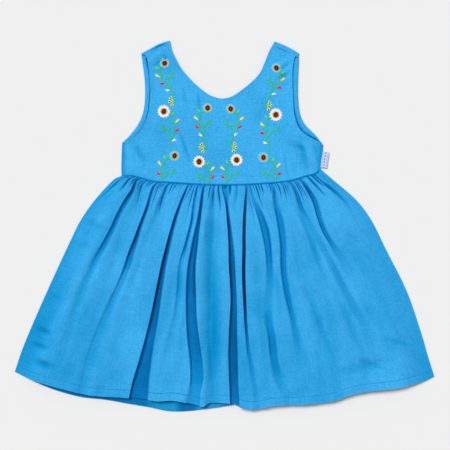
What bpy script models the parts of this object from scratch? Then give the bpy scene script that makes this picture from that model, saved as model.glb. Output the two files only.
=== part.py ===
"""Child's sleeveless sundress with a gathered skirt, laid flat with its front side up.

Every cloth piece is a closed wall of its own: two bodice panels, two gathered skirt
panels, two armhole bindings and a small side label. All sizes are in millimetres
until the meshes are made, in metres. The frame has +X to the right of the dress
as it is seen, +Y towards the neck and +Z up from the surface it lies on.
"""

import math

import bpy
import numpy as np
from mathutils import Vector
from mathutils.geometry import delaunay_2d_cdt

# Cloth and seams
WALL = 1.2
SEAM_GAP = 0.3
BINDING_WALL = 1.0
BINDING_WIDTH = 6.0
BINDING_INSET = 0.5
BINDING_BEVEL = 0.8
BINDING_FROM = 0.075
BINDING_TO = 0.885
BINDING_STEPS = 30
HEM_DEPTH = 10.5
HEM_EXTRA = 0.3
HEM_STEP = 1.6
STEEPEST = 1.8
SHARP_EDGE = 42.0

# Heights above the surface
BACK_BASE = 0.0
FRONT_BASE = BACK_BASE + WALL + SEAM_GAP
BACK_RELIEF = 1.5
LAYER_ROOM = 1.9
SIDE_FALL = 24.0
WAIST_FALL = 0.035
BODICE_FALL = 14.0
OVER_BINDING = BINDING_WALL + 0.4
OVER_BINDING_REACH = 5.2
OVER_BINDING_FALL = 8.0

# Shoulders: the back panel turns over the fold and is sewn to the front strap
TURN_LEFT = 1.2
TURN_RIGHT = 5.0
TURN_STEPS = 6
FOLD_RADIUS = WALL + SEAM_GAP / 2.0
STRAP_SHORT = 1.2
SHOULDER_POINTS = 6

# Net of the bodice panels
FRONT_NET = 9.5
BACK_NET = 17.0
EDGE_STEP = 6.5
WAIST_STEP = 4.0
WAIST_GAP = SEAM_GAP + 0.08

# Side label, bare woven tape
LABEL_LENGTH = 21.2
LABEL_WIDTH = 8.2
LABEL_WALL = 1.0
LABEL_BASE = 0.9
LABEL_CURL = 0.7
LABEL_PLACE = 0.28
LABEL_GAP = SEAM_GAP + 0.1
LABEL_ROWS = 6
LABEL_COLUMNS = 4

# Middle of the finished dress in the tables' own frame
MIDDLE_X = 0.0
MIDDLE_Y = 0.327

# Outlines seen from above, each a table of x and y from left to right or top to bottom
NECK_FRONT = (
    (-71.4, 241.2), (-69.2, 230.6), (-63.8, 218.7), (-56.4, 205.3), (-43.6, 190.1),
    (-29.2, 177.1), (-17.6, 169.3), (-3.2, 165.6), (9.8, 168.6), (22.8, 177.1),
    (38.4, 190.1), (47.1, 200.8), (52.0, 212.0), (57.6, 226.0), (65.0, 240.0),
)
NECK_BACK = (
    (-71.4, 241.2), (-74.5, 226.0), (-71.0, 206.0), (-59.0, 181.0), (-38.0, 156.0),
    (-3.0, 140.0), (33.0, 156.0), (53.0, 179.0), (63.5, 203.0), (67.0, 224.0),
    (65.0, 240.0),
)
SHOULDER_LEFT = ((-71.4, 241.2), (-84.8, 237.0), (-93.7, 232.2), (-108.3, 224.2))
SHOULDER_RIGHT = ((65.0, 240.0), (75.0, 236.2), (84.4, 231.8), (96.7, 224.6))
ARM_FRONT_LEFT = (
    (-108.3, 224.2), (-101.1, 219.4), (-97.9, 205.3), (-95.6, 190.3), (-95.9, 177.1),
    (-97.1, 162.1), (-98.8, 147.2), (-104.8, 130.0), (-116.0, 116.6), (-132.9, 108.4),
)
ARM_FRONT_RIGHT = (
    (96.7, 224.6), (91.0, 219.0), (88.5, 203.8), (88.0, 188.9), (88.5, 173.9),
    (89.3, 159.0), (90.6, 144.0), (96.1, 128.2), (105.3, 119.0), (127.9, 106.0),
)
ARM_BACK_LEFT = (
    (-108.3, 224.2), (-106.5, 211.2), (-104.3, 195.0), (-103.2, 173.9), (-104.9, 151.6),
    (-111.5, 133.8), (-123.5, 117.4), (-132.9, 108.4),
)
ARM_BACK_RIGHT = (
    (96.7, 224.6), (96.7, 215.0), (95.6, 190.0), (95.7, 166.5), (98.2, 146.0),
    (104.8, 132.2), (118.2, 118.3), (127.9, 106.0),
)
SIDE_LEFT = ((-132.9, 108.4), (-133.5, 96.0), (-134.0, 78.0), (-133.7, 65.8))
SIDE_RIGHT = ((127.9, 106.0), (127.4, 96.0), (125.6, 84.0), (124.6, 74.8))
WAIST = (
    (-133.7, 65.4), (-120.0, 65.6), (-105.0, 61.8), (-93.0, 58.5), (-72.0, 57.0),
    (-27.0, 54.3), (23.0, 54.2), (67.0, 57.0), (88.0, 60.0), (105.0, 65.0),
    (118.0, 68.6), (124.6, 74.4),
)
SKIRT_LEFT = (
    (-133.7, 65.4), (-145.5, 59.0), (-168.3, 34.1), (-186.6, 8.1), (-199.6, -17.9),
    (-217.8, -56.9), (-241.2, -108.9), (-261.5, -157.0), (-272.4, -189.2),
)
SKIRT_RIGHT = (
    (124.6, 74.4), (141.1, 60.1), (171.0, 34.1), (190.5, 8.1), (210.0, -30.9),
    (236.0, -82.9), (254.2, -134.9), (264.5, -170.0), (272.4, -195.3),
)
HEM_FRONT = (
    (-272.4, -189.2), (-247.0, -200.0), (-202.0, -212.6), (-172.0, -219.0),
    (-137.0, -221.3), (-106.0, -223.7), (-86.0, -226.2), (-67.0, -225.4),
    (-42.0, -229.9), (-28.0, -233.4), (-18.0, -228.4), (8.0, -229.6), (23.0, -235.2),
    (38.0, -237.2), (54.0, -234.2), (66.0, -232.2), (107.0, -230.6), (142.0, -226.0),
    (164.0, -217.9), (190.0, -213.2), (223.0, -209.6), (257.0, -201.4), (272.4, -195.3),
)
HEM_BACK = (
    (-272.4, -189.2), (-245.1, -202.6), (-217.2, -213.6), (-187.5, -221.5),
    (-160.0, -224.6), (-135.8, -228.5), (-102.2, -234.1), (-72.0, -240.2),
    (-42.5, -239.7), (-12.0, -235.6), (16.0, -231.4), (55.0, -229.4), (107.0, -226.6),
    (150.0, -219.0), (190.0, -209.6), (232.0, -203.6), (272.4, -195.3),
)

# Long folds of the front skirt: where each runs, as shares of the width at five
# heights, how deep it is there, and how wide its two flanks are
HEIGHTS = (0.0, 0.2, 0.5, 0.75, 1.0)
FOLD_NAMES = ("cells", "paths", "depths", "left_flank", "right_flank", "spread")
FRONT_FOLDS = (
    (1, (0.023, 0.014, 0.012, 0.012, 0.012), (1.6, 0.8, 0.0, 0.0, 0.0), 5, 6, 0.0),
    (2, (0.061, 0.074, 0.062, 0.050, 0.044), (1.8, 0.6, 0.0, 0.0, 0.0), 4, 5, 0.0),
    (2, (0.101, 0.109, 0.095, 0.085, 0.077), (3.2, 3.2, 1.7, 1.0, 0.7), 5, 9, 0.8),
    (3, (0.182, 0.204, 0.181, 0.168, 0.165), (3.0, 3.0, 2.5, 1.9, 1.3), 7, 9, 0.7),
    (3, (0.246, 0.264, 0.267, 0.262, 0.255), (2.2, 1.8, 1.2, 0.6, 0.3), 6, 8, 0.6),
    (3, (0.331, 0.314, 0.304, 0.291, 0.274), (3.2, 3.4, 3.5, 3.9, 4.3), 5, 10, 1.2),
    (3, (0.388, 0.384, 0.357, 0.352, 0.345), (2.4, 2.2, 1.6, 1.1, 0.6), 5, 7, 0.6),
    (2, (0.426, 0.412, 0.393, 0.404, 0.422), (3.2, 3.2, 2.9, 2.9, 3.4), 8, 5, 0.7),
    (2, (0.466, 0.464, 0.458, 0.466, 0.470), (1.8, 1.6, 1.3, 0.8, 0.4), 6, 6, 0.4),
    (3, (0.520, 0.514, 0.512, 0.511, 0.515), (2.8, 3.1, 3.3, 3.5, 3.7), 4, 9, 0.7),
    (2, (0.573, 0.556, 0.533, 0.536, 0.545), (2.0, 0.8, 0.0, 0.0, 0.0), 4, 4, 0.0),
    (2, (0.617, 0.577, 0.554, 0.562, 0.580), (2.8, 2.7, 2.4, 2.0, 1.6), 5, 7, 0.6),
    (3, (0.649, 0.643, 0.637, 0.628, 0.660), (2.6, 2.4, 1.7, 2.6, 2.8), 6, 8, 0.8),
    (3, (0.728, 0.706, 0.678, 0.687, 0.700), (3.0, 2.9, 2.3, 1.6, 0.9), 5, 9, 0.6),
    (4, (0.841, 0.796, 0.800, 0.825, 0.850), (2.2, 2.1, 1.8, 1.4, 0.9), 8, 8, 0.7),
    (2, (0.880, 0.843, 0.841, 0.866, 0.885), (3.0, 3.0, 1.9, 1.2, 0.6), 6, 6, 0.5),
    (2, (0.921, 0.911, 0.905, 0.912, 0.922), (2.0, 1.6, 0.5, 0.2, 0.0), 5, 6, 0.4),
    (2, (0.950, 0.966, 0.968, 0.966, 0.966), (1.8, 1.0, 0.0, 0.0, 0.0), 4, 5, 0.0),
    (2, (1.0, 1.0, 1.0, 1.0, 1.0), (0.0, 0.0, 0.0, 0.0, 0.0), 6, 6, 0.0),
)

# Ridges of the back skirt, the same columns; they stand up from the surface
BACK_RIDGES = (
    (4, (0.085, 0.082, 0.085, 0.086, 0.088), (1.2, 1.3, 1.1, 0.9, 0.8), 7, 9, 0.7),
    (4, (0.185, 0.190, 0.192, 0.188, 0.185), (1.3, 1.4, 1.2, 1.0, 0.7), 8, 7, 0.7),
    (4, (0.290, 0.286, 0.280, 0.284, 0.288), (1.2, 1.4, 1.4, 1.3, 1.2), 7, 10, 0.8),
    (4, (0.390, 0.388, 0.384, 0.380, 0.378), (1.3, 1.2, 0.9, 0.6, 0.4), 6, 8, 0.7),
    (4, (0.490, 0.494, 0.498, 0.500, 0.502), (1.2, 1.4, 1.4, 1.3, 1.3), 8, 8, 0.9),
    (4, (0.600, 0.603, 0.606, 0.605, 0.602), (1.3, 1.3, 1.0, 0.8, 0.6), 7, 7, 0.8),
    (4, (0.700, 0.698, 0.700, 0.706, 0.712), (1.2, 1.4, 1.3, 1.3, 1.2), 9, 7, 0.8),
    (4, (0.800, 0.806, 0.812, 0.814, 0.816), (1.3, 1.2, 0.8, 0.6, 0.5), 7, 8, 0.7),
    (4, (0.905, 0.905, 0.908, 0.910, 0.912), (1.2, 1.3, 1.2, 1.0, 0.8), 7, 7, 0.7),
    (4, (1.0, 1.0, 1.0, 1.0, 1.0), (0.0, 0.0, 0.0, 0.0, 0.0), 6, 6, 0.0),
)

# Body of the front skirt between its folds, by height
CREST_HEIGHTS = (0.0, 0.02, 0.05, 0.12, 0.5, 1.0)
CREST_RISE = (0.0, 2.0, 3.1, 3.5, 3.7, 4.5)
GATHER_FRONT = 1.5
GATHER_BACK = 1.2
GATHER_SHORT = 0.085
GATHER_LONG = 0.19
GATHER_ROWS = (0.0, 0.012, 0.03, 0.055, 0.09, 0.135, 0.185)
FRONT_ROWS = 13
BACK_ROWS = 9

# Soft rises of the front bodice: centre, reach along and across, turn and height
BODICE_SOFT = (
    (-62.0, 128.0, 46.0, 30.0, 12.0, 0.7),
    (58.0, 124.0, 44.0, 30.0, -10.0, 0.7),
    (100.0, 88.0, 26.0, 7.0, 38.0, 0.9),
    (112.0, 80.0, 22.0, 6.0, 30.0, 0.7),
    (-112.0, 92.0, 26.0, 7.0, -48.0, 0.8),
    (-118.0, 76.0, 20.0, 6.0, -30.0, 0.6),
    (-3.0, 112.0, 60.0, 34.0, 0.0, 0.5),
    (-80.0, 222.0, 16.0, 6.0, 60.0, 0.5),
    (76.0, 222.0, 16.0, 6.0, -60.0, 0.5),
)

# Colours of the cloth, linear
BLUE = (0.070, 0.405, 0.830, 1.0)
BLUE_INSIDE = (0.055, 0.360, 0.770, 1.0)
TAPE = (0.560, 0.690, 0.930, 1.0)
CLOTH_ROUGHNESS = 0.85


def smooth(value):
    """Ease from 0 to 1."""
    value = np.clip(value, 0.0, 1.0)
    return value * value * (3.0 - 2.0 * value)


def through(stops, values, where):
    """Read a soft curve through the values at the stops."""
    stops = np.asarray(stops, float)
    values = np.asarray(values, float)
    slopes = np.gradient(values, stops)
    where = np.clip(np.asarray(where, float), stops[0], stops[-1])
    index = np.clip(np.searchsorted(stops, where, side="right") - 1, 0, len(stops) - 2)
    span = stops[index + 1] - stops[index]
    u = (where - stops[index]) / span
    rise = values[index + 1] - values[index]
    first = slopes[index] * span
    last = slopes[index + 1] * span
    bend = (first - rise) * (1.0 - u) + (rise - last) * u
    return values[index] + rise * u + u * (1.0 - u) * bend


class Outline:
    """A soft line through a table of points, read by the share of its length."""

    def __init__(self, points, steps=24):
        points = np.asarray(points, float)
        ends = (2.0 * points[:1] - points[1:2], 2.0 * points[-1:] - points[-2:-1])
        full = np.concatenate((ends[0], points, ends[1]))
        u = np.linspace(0.0, 1.0, steps, endpoint=False)[:, None]
        parts = []
        for i in range(len(points) - 1):
            p0, p1, p2, p3 = full[i:i + 4]
            part = 2.0 * p1 + (p2 - p0) * u
            part = part + (2.0 * p0 - 5.0 * p1 + 4.0 * p2 - p3) * u ** 2
            part = part + (3.0 * p1 - p0 - 3.0 * p2 + p3) * u ** 3
            parts.append(0.5 * part)
        parts.append(points[-1:])
        self.points = np.concatenate(parts)
        lengths = np.linalg.norm(np.diff(self.points, axis=0), axis=1)
        self.share = np.concatenate(([0.0], np.cumsum(lengths)))
        self.length = self.share[-1]
        self.share = self.share / self.length

    def at(self, share):
        """Points at shares of the length."""
        x = np.interp(share, self.share, self.points[:, 0])
        y = np.interp(share, self.share, self.points[:, 1])
        return np.stack((x, y), axis=-1)

    def even(self, step, start=0.0, end=1.0):
        """Points about one step apart between two shares."""
        count = max(2, int(round((end - start) * self.length / step)) + 1)
        return self.at(np.linspace(start, end, count))

    def distance(self, x, y):
        """Shortest way from each place to the line."""
        near = np.full(np.shape(x), 1e9)
        for px, py in self.points[::3]:
            near = np.minimum(near, np.hypot(x - px, y - py))
        return near


def cloth_material(name, colour):
    """Plain woven cloth of one colour."""
    material = bpy.data.materials.new(name)
    material.use_nodes = True
    shader = material.node_tree.nodes["Principled BSDF"]
    shader.inputs["Base Color"].default_value = colour
    shader.inputs["Roughness"].default_value = CLOTH_ROUGHNESS
    shader.inputs["Metallic"].default_value = 0.0
    return material


def add_piece(name, points, faces, colour):
    """Make the named object of one piece from millimetre points."""
    points = np.asarray(points, float) - np.array((MIDDLE_X, MIDDLE_Y, 0.0))
    mesh = bpy.data.meshes.new(name)
    mesh.from_pydata([tuple(p) for p in points * 0.001], [], faces)
    mesh.validate()
    mesh.update()
    mesh.shade_smooth()
    mesh.set_sharp_from_angle(angle=math.radians(SHARP_EDGE))
    mesh.materials.append(cloth_material(name + "_cloth", colour))
    piece = bpy.data.objects.new(name, mesh)
    bpy.context.scene.collection.objects.link(piece)
    return piece


def wall_faces(top_faces, rim, count):
    """Faces of a wall: upper side, lower side and the rim between them."""
    faces = [tuple(f) for f in top_faces]
    faces += [tuple(i + count for i in reversed(f)) for f in top_faces]
    for a, b in zip(rim, rim[1:] + rim[:1]):
        faces.append((b, a, a + count))
        faces.append((b, a + count, b + count))
    return faces


class Skirt:
    """One gathered skirt panel: its plan, its columns of cloth and its relief."""

    def __init__(self, hem, folds, gather, is_front):
        self.waist = Outline(WAIST)
        self.left = Outline(SKIRT_LEFT)
        self.right = Outline(SKIRT_RIGHT)
        self.hem = Outline(hem)
        self.folds = [dict(zip(FOLD_NAMES, row)) for row in folds]
        self.cells = sum(fold["cells"] for fold in self.folds)
        self.gather = gather
        self.is_front = is_front

    def plan(self, s, t):
        """Place on the surface at share s of the width and t of the length."""
        s = np.asarray(s, float)[..., None]
        t = np.asarray(t, float)[..., None]
        waist = self.waist.at(s[..., 0])
        hem = self.hem.at(s[..., 0])
        left = self.left.at(t[..., 0])
        right = self.right.at(t[..., 0])
        corners = (1 - s) * (1 - t) * self.waist.at(0.0) + s * (1 - t) * self.waist.at(1.0)
        corners = corners + (1 - s) * t * self.hem.at(0.0) + s * t * self.hem.at(1.0)
        return (1 - t) * waist + t * hem + (1 - s) * left + s * right - corners

    def row_width(self, t):
        """Width of the panel at a height, in millimetres."""
        ends = self.right.at(t) - self.left.at(t)
        return np.hypot(ends[..., 0], ends[..., 1])

    def columns(self, t):
        """Shares of the width where the columns of cloth cross a height."""
        width = float(self.row_width(t))
        found = [0.0]
        place = 0.0
        flank = self.folds[0]["left_flank"]
        for fold in self.folds:
            target = float(through(HEIGHTS, fold["paths"], t))
            room = (target - place) * width
            count = fold["cells"]
            first = min(1.0 / count, flank / max(room, 1.0))
            next_flank = fold["left_flank"] * (1 + fold["spread"] * t)
            last = 1.0 - min(1.0 / count, next_flank / max(room, 1.0))
            for k in range(1, count):
                share = k / count
                if count > 2:
                    share = first + (last - first) * (k - 1) / (count - 2)
                found.append(place + share * (target - place))
            found.append(target)
            place = target
            flank = fold["right_flank"] * (1 + fold["spread"] * t)
        return np.array(found)

    def envelope(self, s, t):
        """How far the panel is free to rise: nothing at the side seams and the waist."""
        edge = np.minimum(s, 1.0 - s) * self.row_width(t)
        return smooth(edge / SIDE_FALL) * smooth(t / WAIST_FALL)

    def fold_relief(self, s, t):
        """Depth of the deepest long fold, or height of the highest ridge, at a place."""
        deepest = np.zeros(np.broadcast(s, t).shape)
        for fold in self.folds[:-1]:
            path = through(HEIGHTS, fold["paths"], t)
            depth = np.maximum(through(HEIGHTS, fold["depths"], t), 0.0)
            away = (s - path) * self.row_width(t)
            widen = 1.0 + fold["spread"] * t
            reach = np.where(away < 0.0, fold["left_flank"], fold["right_flank"]) * widen
            deepest = np.maximum(deepest, depth * (1.0 - smooth(np.abs(away) / reach)))
        return deepest

    def gather_relief(self, index, t):
        """Height of the small gathers, by place between the columns."""
        number = np.floor(index)
        vary = 0.5 + 0.5 * np.sin(number * 2.4 + 0.7 * np.sin(number * 1.3))
        ends = GATHER_SHORT + (GATHER_LONG - GATHER_SHORT) * vary
        fade = 1.0 - smooth(t / ends)
        wave = 0.5 - 0.5 * np.cos(2.0 * math.pi * index)
        return self.gather * (0.65 + 0.35 * vary) * fade * wave

    def lower(self, s, t, index):
        """Height of the lower side."""
        free = self.envelope(s, t)
        start = smooth(t / 0.02)
        if not self.is_front:
            ridge = self.fold_relief(s, t)
            gathers = self.gather_relief(index, t)
            return BACK_BASE + np.minimum(np.maximum(ridge, gathers), BACK_RELIEF) * free
        crest = np.interp(t, CREST_HEIGHTS, CREST_RISE)
        body = np.maximum(crest - self.fold_relief(s, t), 0.15)
        body = body + self.gather_relief(index, t) * (0.35 + 0.65 * start) * 0.8
        edge = np.minimum(s, 1.0 - s) * self.row_width(t)
        base = FRONT_BASE + HEM_EXTRA * smooth((self.to_hem(s, t) + 7.0) / 4.0)
        return base + LAYER_ROOM * free + body * smooth(edge / SIDE_FALL)

    def to_hem(self, s, t):
        """How far a place is past the upper line of the hem, in millimetres."""
        length = self.left.length * (1.0 - s) + self.right.length * s
        return (t - 1.0) * length + HEM_DEPTH

    def wall(self, s, t, index):
        """Upright thickness of the cloth, more where it slopes and at the hem."""
        ds = 2.0 / self.row_width(t)
        along = (self.lower(np.clip(s + ds, 0, 1), t, index)
                 - self.lower(np.clip(s - ds, 0, 1), t, index)) / 4.0
        slope = np.sqrt(1.0 + along ** 2)
        hem = smooth(self.to_hem(s, t) / HEM_STEP + 0.5)
        return WALL * np.minimum(slope, STEEPEST) + HEM_EXTRA * hem

    def rows(self):
        """Heights of the rows of the net, gather rows first, then down to the hem."""
        count = FRONT_ROWS if self.is_front else BACK_ROWS
        mean = 0.5 * (self.left.length + self.right.length)
        band = 1.0 - HEM_DEPTH / mean
        plain = np.linspace(GATHER_ROWS[-1], band - 0.003, count + 1)[1:]
        return list(GATHER_ROWS), list(plain) + [band + 0.003, 1.0]

    def build(self, name, colour):
        """Make the panel as one closed wall."""
        fine_rows, plain_rows = self.rows()
        s_all = []
        t_all = []
        i_all = []
        starts = []
        for t in fine_rows + plain_rows:
            starts.append(len(s_all))
            s = self.columns(t)
            index = np.arange(self.cells + 1, dtype=float)
            if t in fine_rows:
                between = 0.5 * (s[:-1] + s[1:])
                s = np.insert(s, np.arange(1, len(s)), between)
                index = np.arange(2 * self.cells + 1) * 0.5
            s_all += list(s)
            t_all += [t] * len(s)
            i_all += list(index)
        s = np.array(s_all)
        t = np.array(t_all)
        index = np.array(i_all)
        plan = self.plan(s, t)
        low = self.lower(s, t, index)
        high = low + self.wall(s, t, index)
        count = len(s)
        last_fine = len(fine_rows) - 1
        for side in (low, high):
            row = side[starts[last_fine]:starts[last_fine + 1]]
            row[1::2] = 0.5 * (row[0:-1:2] + row[2::2])
        top = np.column_stack((plan, high))
        bottom = np.column_stack((plan, low))
        faces = []
        for r in range(len(starts) - 1):
            a = starts[r]
            b = starts[r + 1]
            if r == last_fine:
                for j in range(self.cells):
                    f = a + 2 * j
                    faces.append((f, b + j, f + 1))
                    faces.append((f + 1, b + j, b + j + 1))
                    faces.append((f + 1, b + j + 1, f + 2))
                continue
            for j in range(b - a - 1):
                if (j + r) % 2:
                    faces.append((a + j, b + j, b + j + 1))
                    faces.append((a + j, b + j + 1, a + j + 1))
                else:
                    faces.append((a + j, b + j, a + j + 1))
                    faces.append((a + j + 1, b + j, b + j + 1))
        ends = starts[1:] + [count]
        rim = list(range(starts[0], ends[0]))
        rim += [end - 1 for end in ends[1:]]
        rim += list(range(count - 2, starts[-1] - 1, -1))
        rim += list(reversed(starts[1:-1]))
        rim = list(reversed(rim))
        return add_piece(name, np.concatenate((top, bottom)), wall_faces(faces, rim, count), colour)


def inside(outline, x, y):
    """Whether places lie inside a closed line of points."""
    hit = np.zeros(np.shape(x), bool)
    ax, ay = outline[-1]
    for bx, by in outline:
        cross = (ay > y) != (by > y)
        at = (bx - ax) * (y - ay) / (by - ay + 1e-12) + ax
        hit ^= cross & (x < at)
        ax, ay = bx, by
    return hit


def net(outline, spacing, clear):
    """Even net of triangles filling a closed line of points."""
    low = outline.min(axis=0)
    high = outline.max(axis=0)
    rows = int((high[1] - low[1]) / (spacing * 0.866)) + 1
    columns = int((high[0] - low[0]) / spacing) + 1
    grid = []
    for r in range(rows + 1):
        for c in range(columns + 1):
            grid.append((low[0] + (c + 0.5 * (r % 2)) * spacing, low[1] + r * spacing * 0.866))
    grid = np.array(grid)
    keep = inside(outline, grid[:, 0], grid[:, 1])
    for a, b in zip(outline, np.roll(outline, -1, axis=0)):
        run = b - a
        share = np.clip(((grid - a) @ run) / (run @ run), 0.0, 1.0)
        gap = np.linalg.norm(grid - (a + share[:, None] * run), axis=1)
        keep &= gap > clear
    points = [Vector(p) for p in np.concatenate((outline, grid[keep]))]
    border = [list(range(len(outline)))]
    found = delaunay_2d_cdt(points, [], border, 1, 1e-6)
    places = np.array([tuple(p) for p in found[0]])
    return places, [tuple(f) for f in found[2]]


def counter_clockwise(outline):
    """The closed line turned so that it runs counter-clockwise."""
    x, y = outline[:, 0], outline[:, 1]
    area = np.sum(x * np.roll(y, -1) - np.roll(x, -1) * y)
    return outline if area > 0 else outline[::-1]


def shoulder_line(table):
    """Shoulder points pulled in by the bend of the fold, and the way outwards."""
    line = Outline(table).at(np.linspace(0.0, 1.0, SHOULDER_POINTS))
    run = line[-1] - line[0]
    out = np.array((-run[1], run[0]))
    out = out / np.linalg.norm(out)
    if out[1] < 0.0:
        out = -out
    return line - out * FOLD_RADIUS, out


def bodice_waist():
    """Waist edge of the bodice panels, a seam gap above the skirt."""
    line = Outline(WAIST).even(WAIST_STEP)
    run = np.gradient(line, axis=0)
    run = run / np.linalg.norm(run, axis=1)[:, None]
    up = np.column_stack((-run[:, 1], run[:, 0]))
    return line + up * WAIST_GAP


def bodice_outline(neck, arm_left, arm_right, pull_left, pull_right, shoulders):
    """Closed edge of a bodice panel, from the left shoulder round to it again."""
    neck = Outline(neck)
    arm_left = Outline(arm_left)
    arm_right = Outline(arm_right)
    neck_line = neck.even(EDGE_STEP, pull_left / neck.length, 1.0 - pull_right / neck.length)
    right_arm = arm_right.even(EDGE_STEP, pull_right / arm_right.length, 1.0)
    left_arm = arm_left.even(EDGE_STEP, pull_left / arm_left.length, 1.0)
    waist = bodice_waist()
    right_side = Outline(SIDE_RIGHT).even(EDGE_STEP)[1:-1]
    left_side = Outline(SIDE_LEFT).even(EDGE_STEP)[1:-1]
    parts = [neck_line]
    if shoulders:
        parts[0] = neck_line[1:-1]
        parts += [shoulders[1], right_arm[1:]]
    else:
        parts.append(right_arm)
    parts += [right_side, waist[::-1], left_side[::-1]]
    parts.append(left_arm[::-1][:-1] if shoulders else left_arm[::-1])
    if shoulders:
        parts.append(shoulders[0][::-1])
    return np.concatenate(parts)


def binding_course(table):
    """Middle line of the binding sewn inside a back armhole."""
    arm = Outline(table)
    line = arm.at(np.linspace(BINDING_FROM, BINDING_TO, BINDING_STEPS))
    run = np.gradient(line, axis=0)
    run = run / np.linalg.norm(run, axis=1)[:, None]
    inward = np.column_stack((-run[:, 1], run[:, 0]))
    half = BINDING_STEPS // 2
    if inward[half][0] * line[half][0] > 0.0:
        inward = -inward
    return line, inward


def bodice_front_lower(x, y):
    """Height of the lower side of the front bodice."""
    soft = np.zeros(np.shape(x))
    for cx, cy, along, across, turn, height in BODICE_SOFT:
        c = math.cos(math.radians(turn))
        s = math.sin(math.radians(turn))
        u = ((x - cx) * c + (y - cy) * s) / along
        v = ((y - cy) * c - (x - cx) * s) / across
        soft = np.maximum(soft, height * (1.0 - smooth(np.sqrt(u * u + v * v))))
    over = np.zeros(np.shape(x))
    for table in (ARM_BACK_LEFT, ARM_BACK_RIGHT):
        line, inward = binding_course(table)
        line = line + inward * (BINDING_INSET + BINDING_WIDTH / 2.0)
        near = np.full(np.shape(x), 1e9)
        for px, py in line:
            near = np.minimum(near, np.hypot(x - px, y - py))
        far = smooth((near - OVER_BINDING_REACH) / OVER_BINDING_FALL)
        over = np.maximum(over, OVER_BINDING * (1.0 - far))
    edges = np.minimum(Outline(SIDE_LEFT).distance(x, y), Outline(SIDE_RIGHT).distance(x, y))
    edges = np.minimum(edges, Outline(WAIST).distance(x, y))
    return FRONT_BASE + np.maximum(soft * smooth(edges / BODICE_FALL), over)


def build_bodice_front():
    """Front bodice: one net, its straps ending at the shoulder seams."""
    reach = FOLD_RADIUS + SEAM_GAP + STRAP_SHORT
    edge = bodice_outline(NECK_FRONT, ARM_FRONT_LEFT, ARM_FRONT_RIGHT,
                          reach + TURN_LEFT, reach + TURN_RIGHT, None)
    edge = counter_clockwise(edge)
    places, faces = net(edge, FRONT_NET, FRONT_NET * 0.45)
    low = bodice_front_lower(places[:, 0], places[:, 1])
    top = np.column_stack((places, low + WALL))
    bottom = np.column_stack((places, low))
    rim = list(range(len(edge)))
    points = np.concatenate((top, bottom))
    return add_piece("bodice_front", points, wall_faces(faces, rim, len(places)), BLUE)


def build_bodice_back():
    """Back bodice: flat on the surface, turned over the shoulders to the front."""
    left, left_out = shoulder_line(SHOULDER_LEFT)
    right, right_out = shoulder_line(SHOULDER_RIGHT)
    edge = bodice_outline(NECK_BACK, ARM_BACK_LEFT, ARM_BACK_RIGHT,
                          FOLD_RADIUS, FOLD_RADIUS, (left, right))
    edge = counter_clockwise(edge)
    places, faces = net(edge, BACK_NET, BACK_NET * 0.4)
    count = len(places)
    top = np.column_stack((places, np.full(count, BACK_BASE + WALL)))
    bottom = np.column_stack((places, np.full(count, BACK_BASE)))
    points = [tuple(p) for p in np.concatenate((top, bottom))]
    solid = [tuple(f) for f in faces]
    solid += [tuple(i + count for i in reversed(f)) for f in faces]
    edge_count = len(edge)
    turned = set()
    for line, out, depth in ((left, left_out, TURN_LEFT), (right, right_out, TURN_RIGHT)):
        ids = [int(np.argmin(np.linalg.norm(edge - p, axis=1))) for p in line]
        if (ids[1] - ids[0]) % edge_count != 1:
            ids = ids[::-1]
        turned.update((a, b) for a, b in zip(ids, ids[1:]))
        inner = [list(ids)]
        outer = [[i + count for i in ids]]
        steps = [(math.pi * k / TURN_STEPS, 0.0) for k in range(1, TURN_STEPS + 1)]
        steps += [(math.pi, depth * 0.5), (math.pi, depth)]
        for angle, back in steps:
            for rows, radius in ((inner, SEAM_GAP / 2.0), (outer, FOLD_RADIUS)):
                row = []
                for i in ids:
                    place = edge[i] + out * (radius * math.sin(angle) - back)
                    height = BACK_BASE + FOLD_RADIUS - radius * math.cos(angle)
                    row.append(len(points))
                    points.append((place[0], place[1], height))
                rows.append(row)
        for k in range(len(steps)):
            for j in range(len(ids) - 1):
                a, b = outer[k][j], outer[k][j + 1]
                c, d = outer[k + 1][j + 1], outer[k + 1][j]
                solid += [(a, b, c), (a, c, d)]
                a, b = inner[k][j], inner[k][j + 1]
                c, d = inner[k + 1][j + 1], inner[k + 1][j]
                solid += [(a, c, b), (a, d, c)]
            for j, flip in ((0, True), (len(ids) - 1, False)):
                a, b = outer[k][j], inner[k][j]
                c, d = inner[k + 1][j], outer[k + 1][j]
                quad = [(a, b, c), (a, c, d)]
                solid += [tuple(reversed(f)) for f in quad] if flip else quad
        for j in range(len(ids) - 1):
            a, b = outer[-1][j], outer[-1][j + 1]
            c, d = inner[-1][j + 1], inner[-1][j]
            solid += [(a, b, c), (a, c, d)]
    rim = list(range(edge_count))
    for a, b in zip(rim, rim[1:] + rim[:1]):
        if (a, b) not in turned:
            solid.append((b, a, a + count))
            solid.append((b, a + count, b + count))
    return add_piece("bodice_back", points, solid, BLUE_INSIDE)


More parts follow.
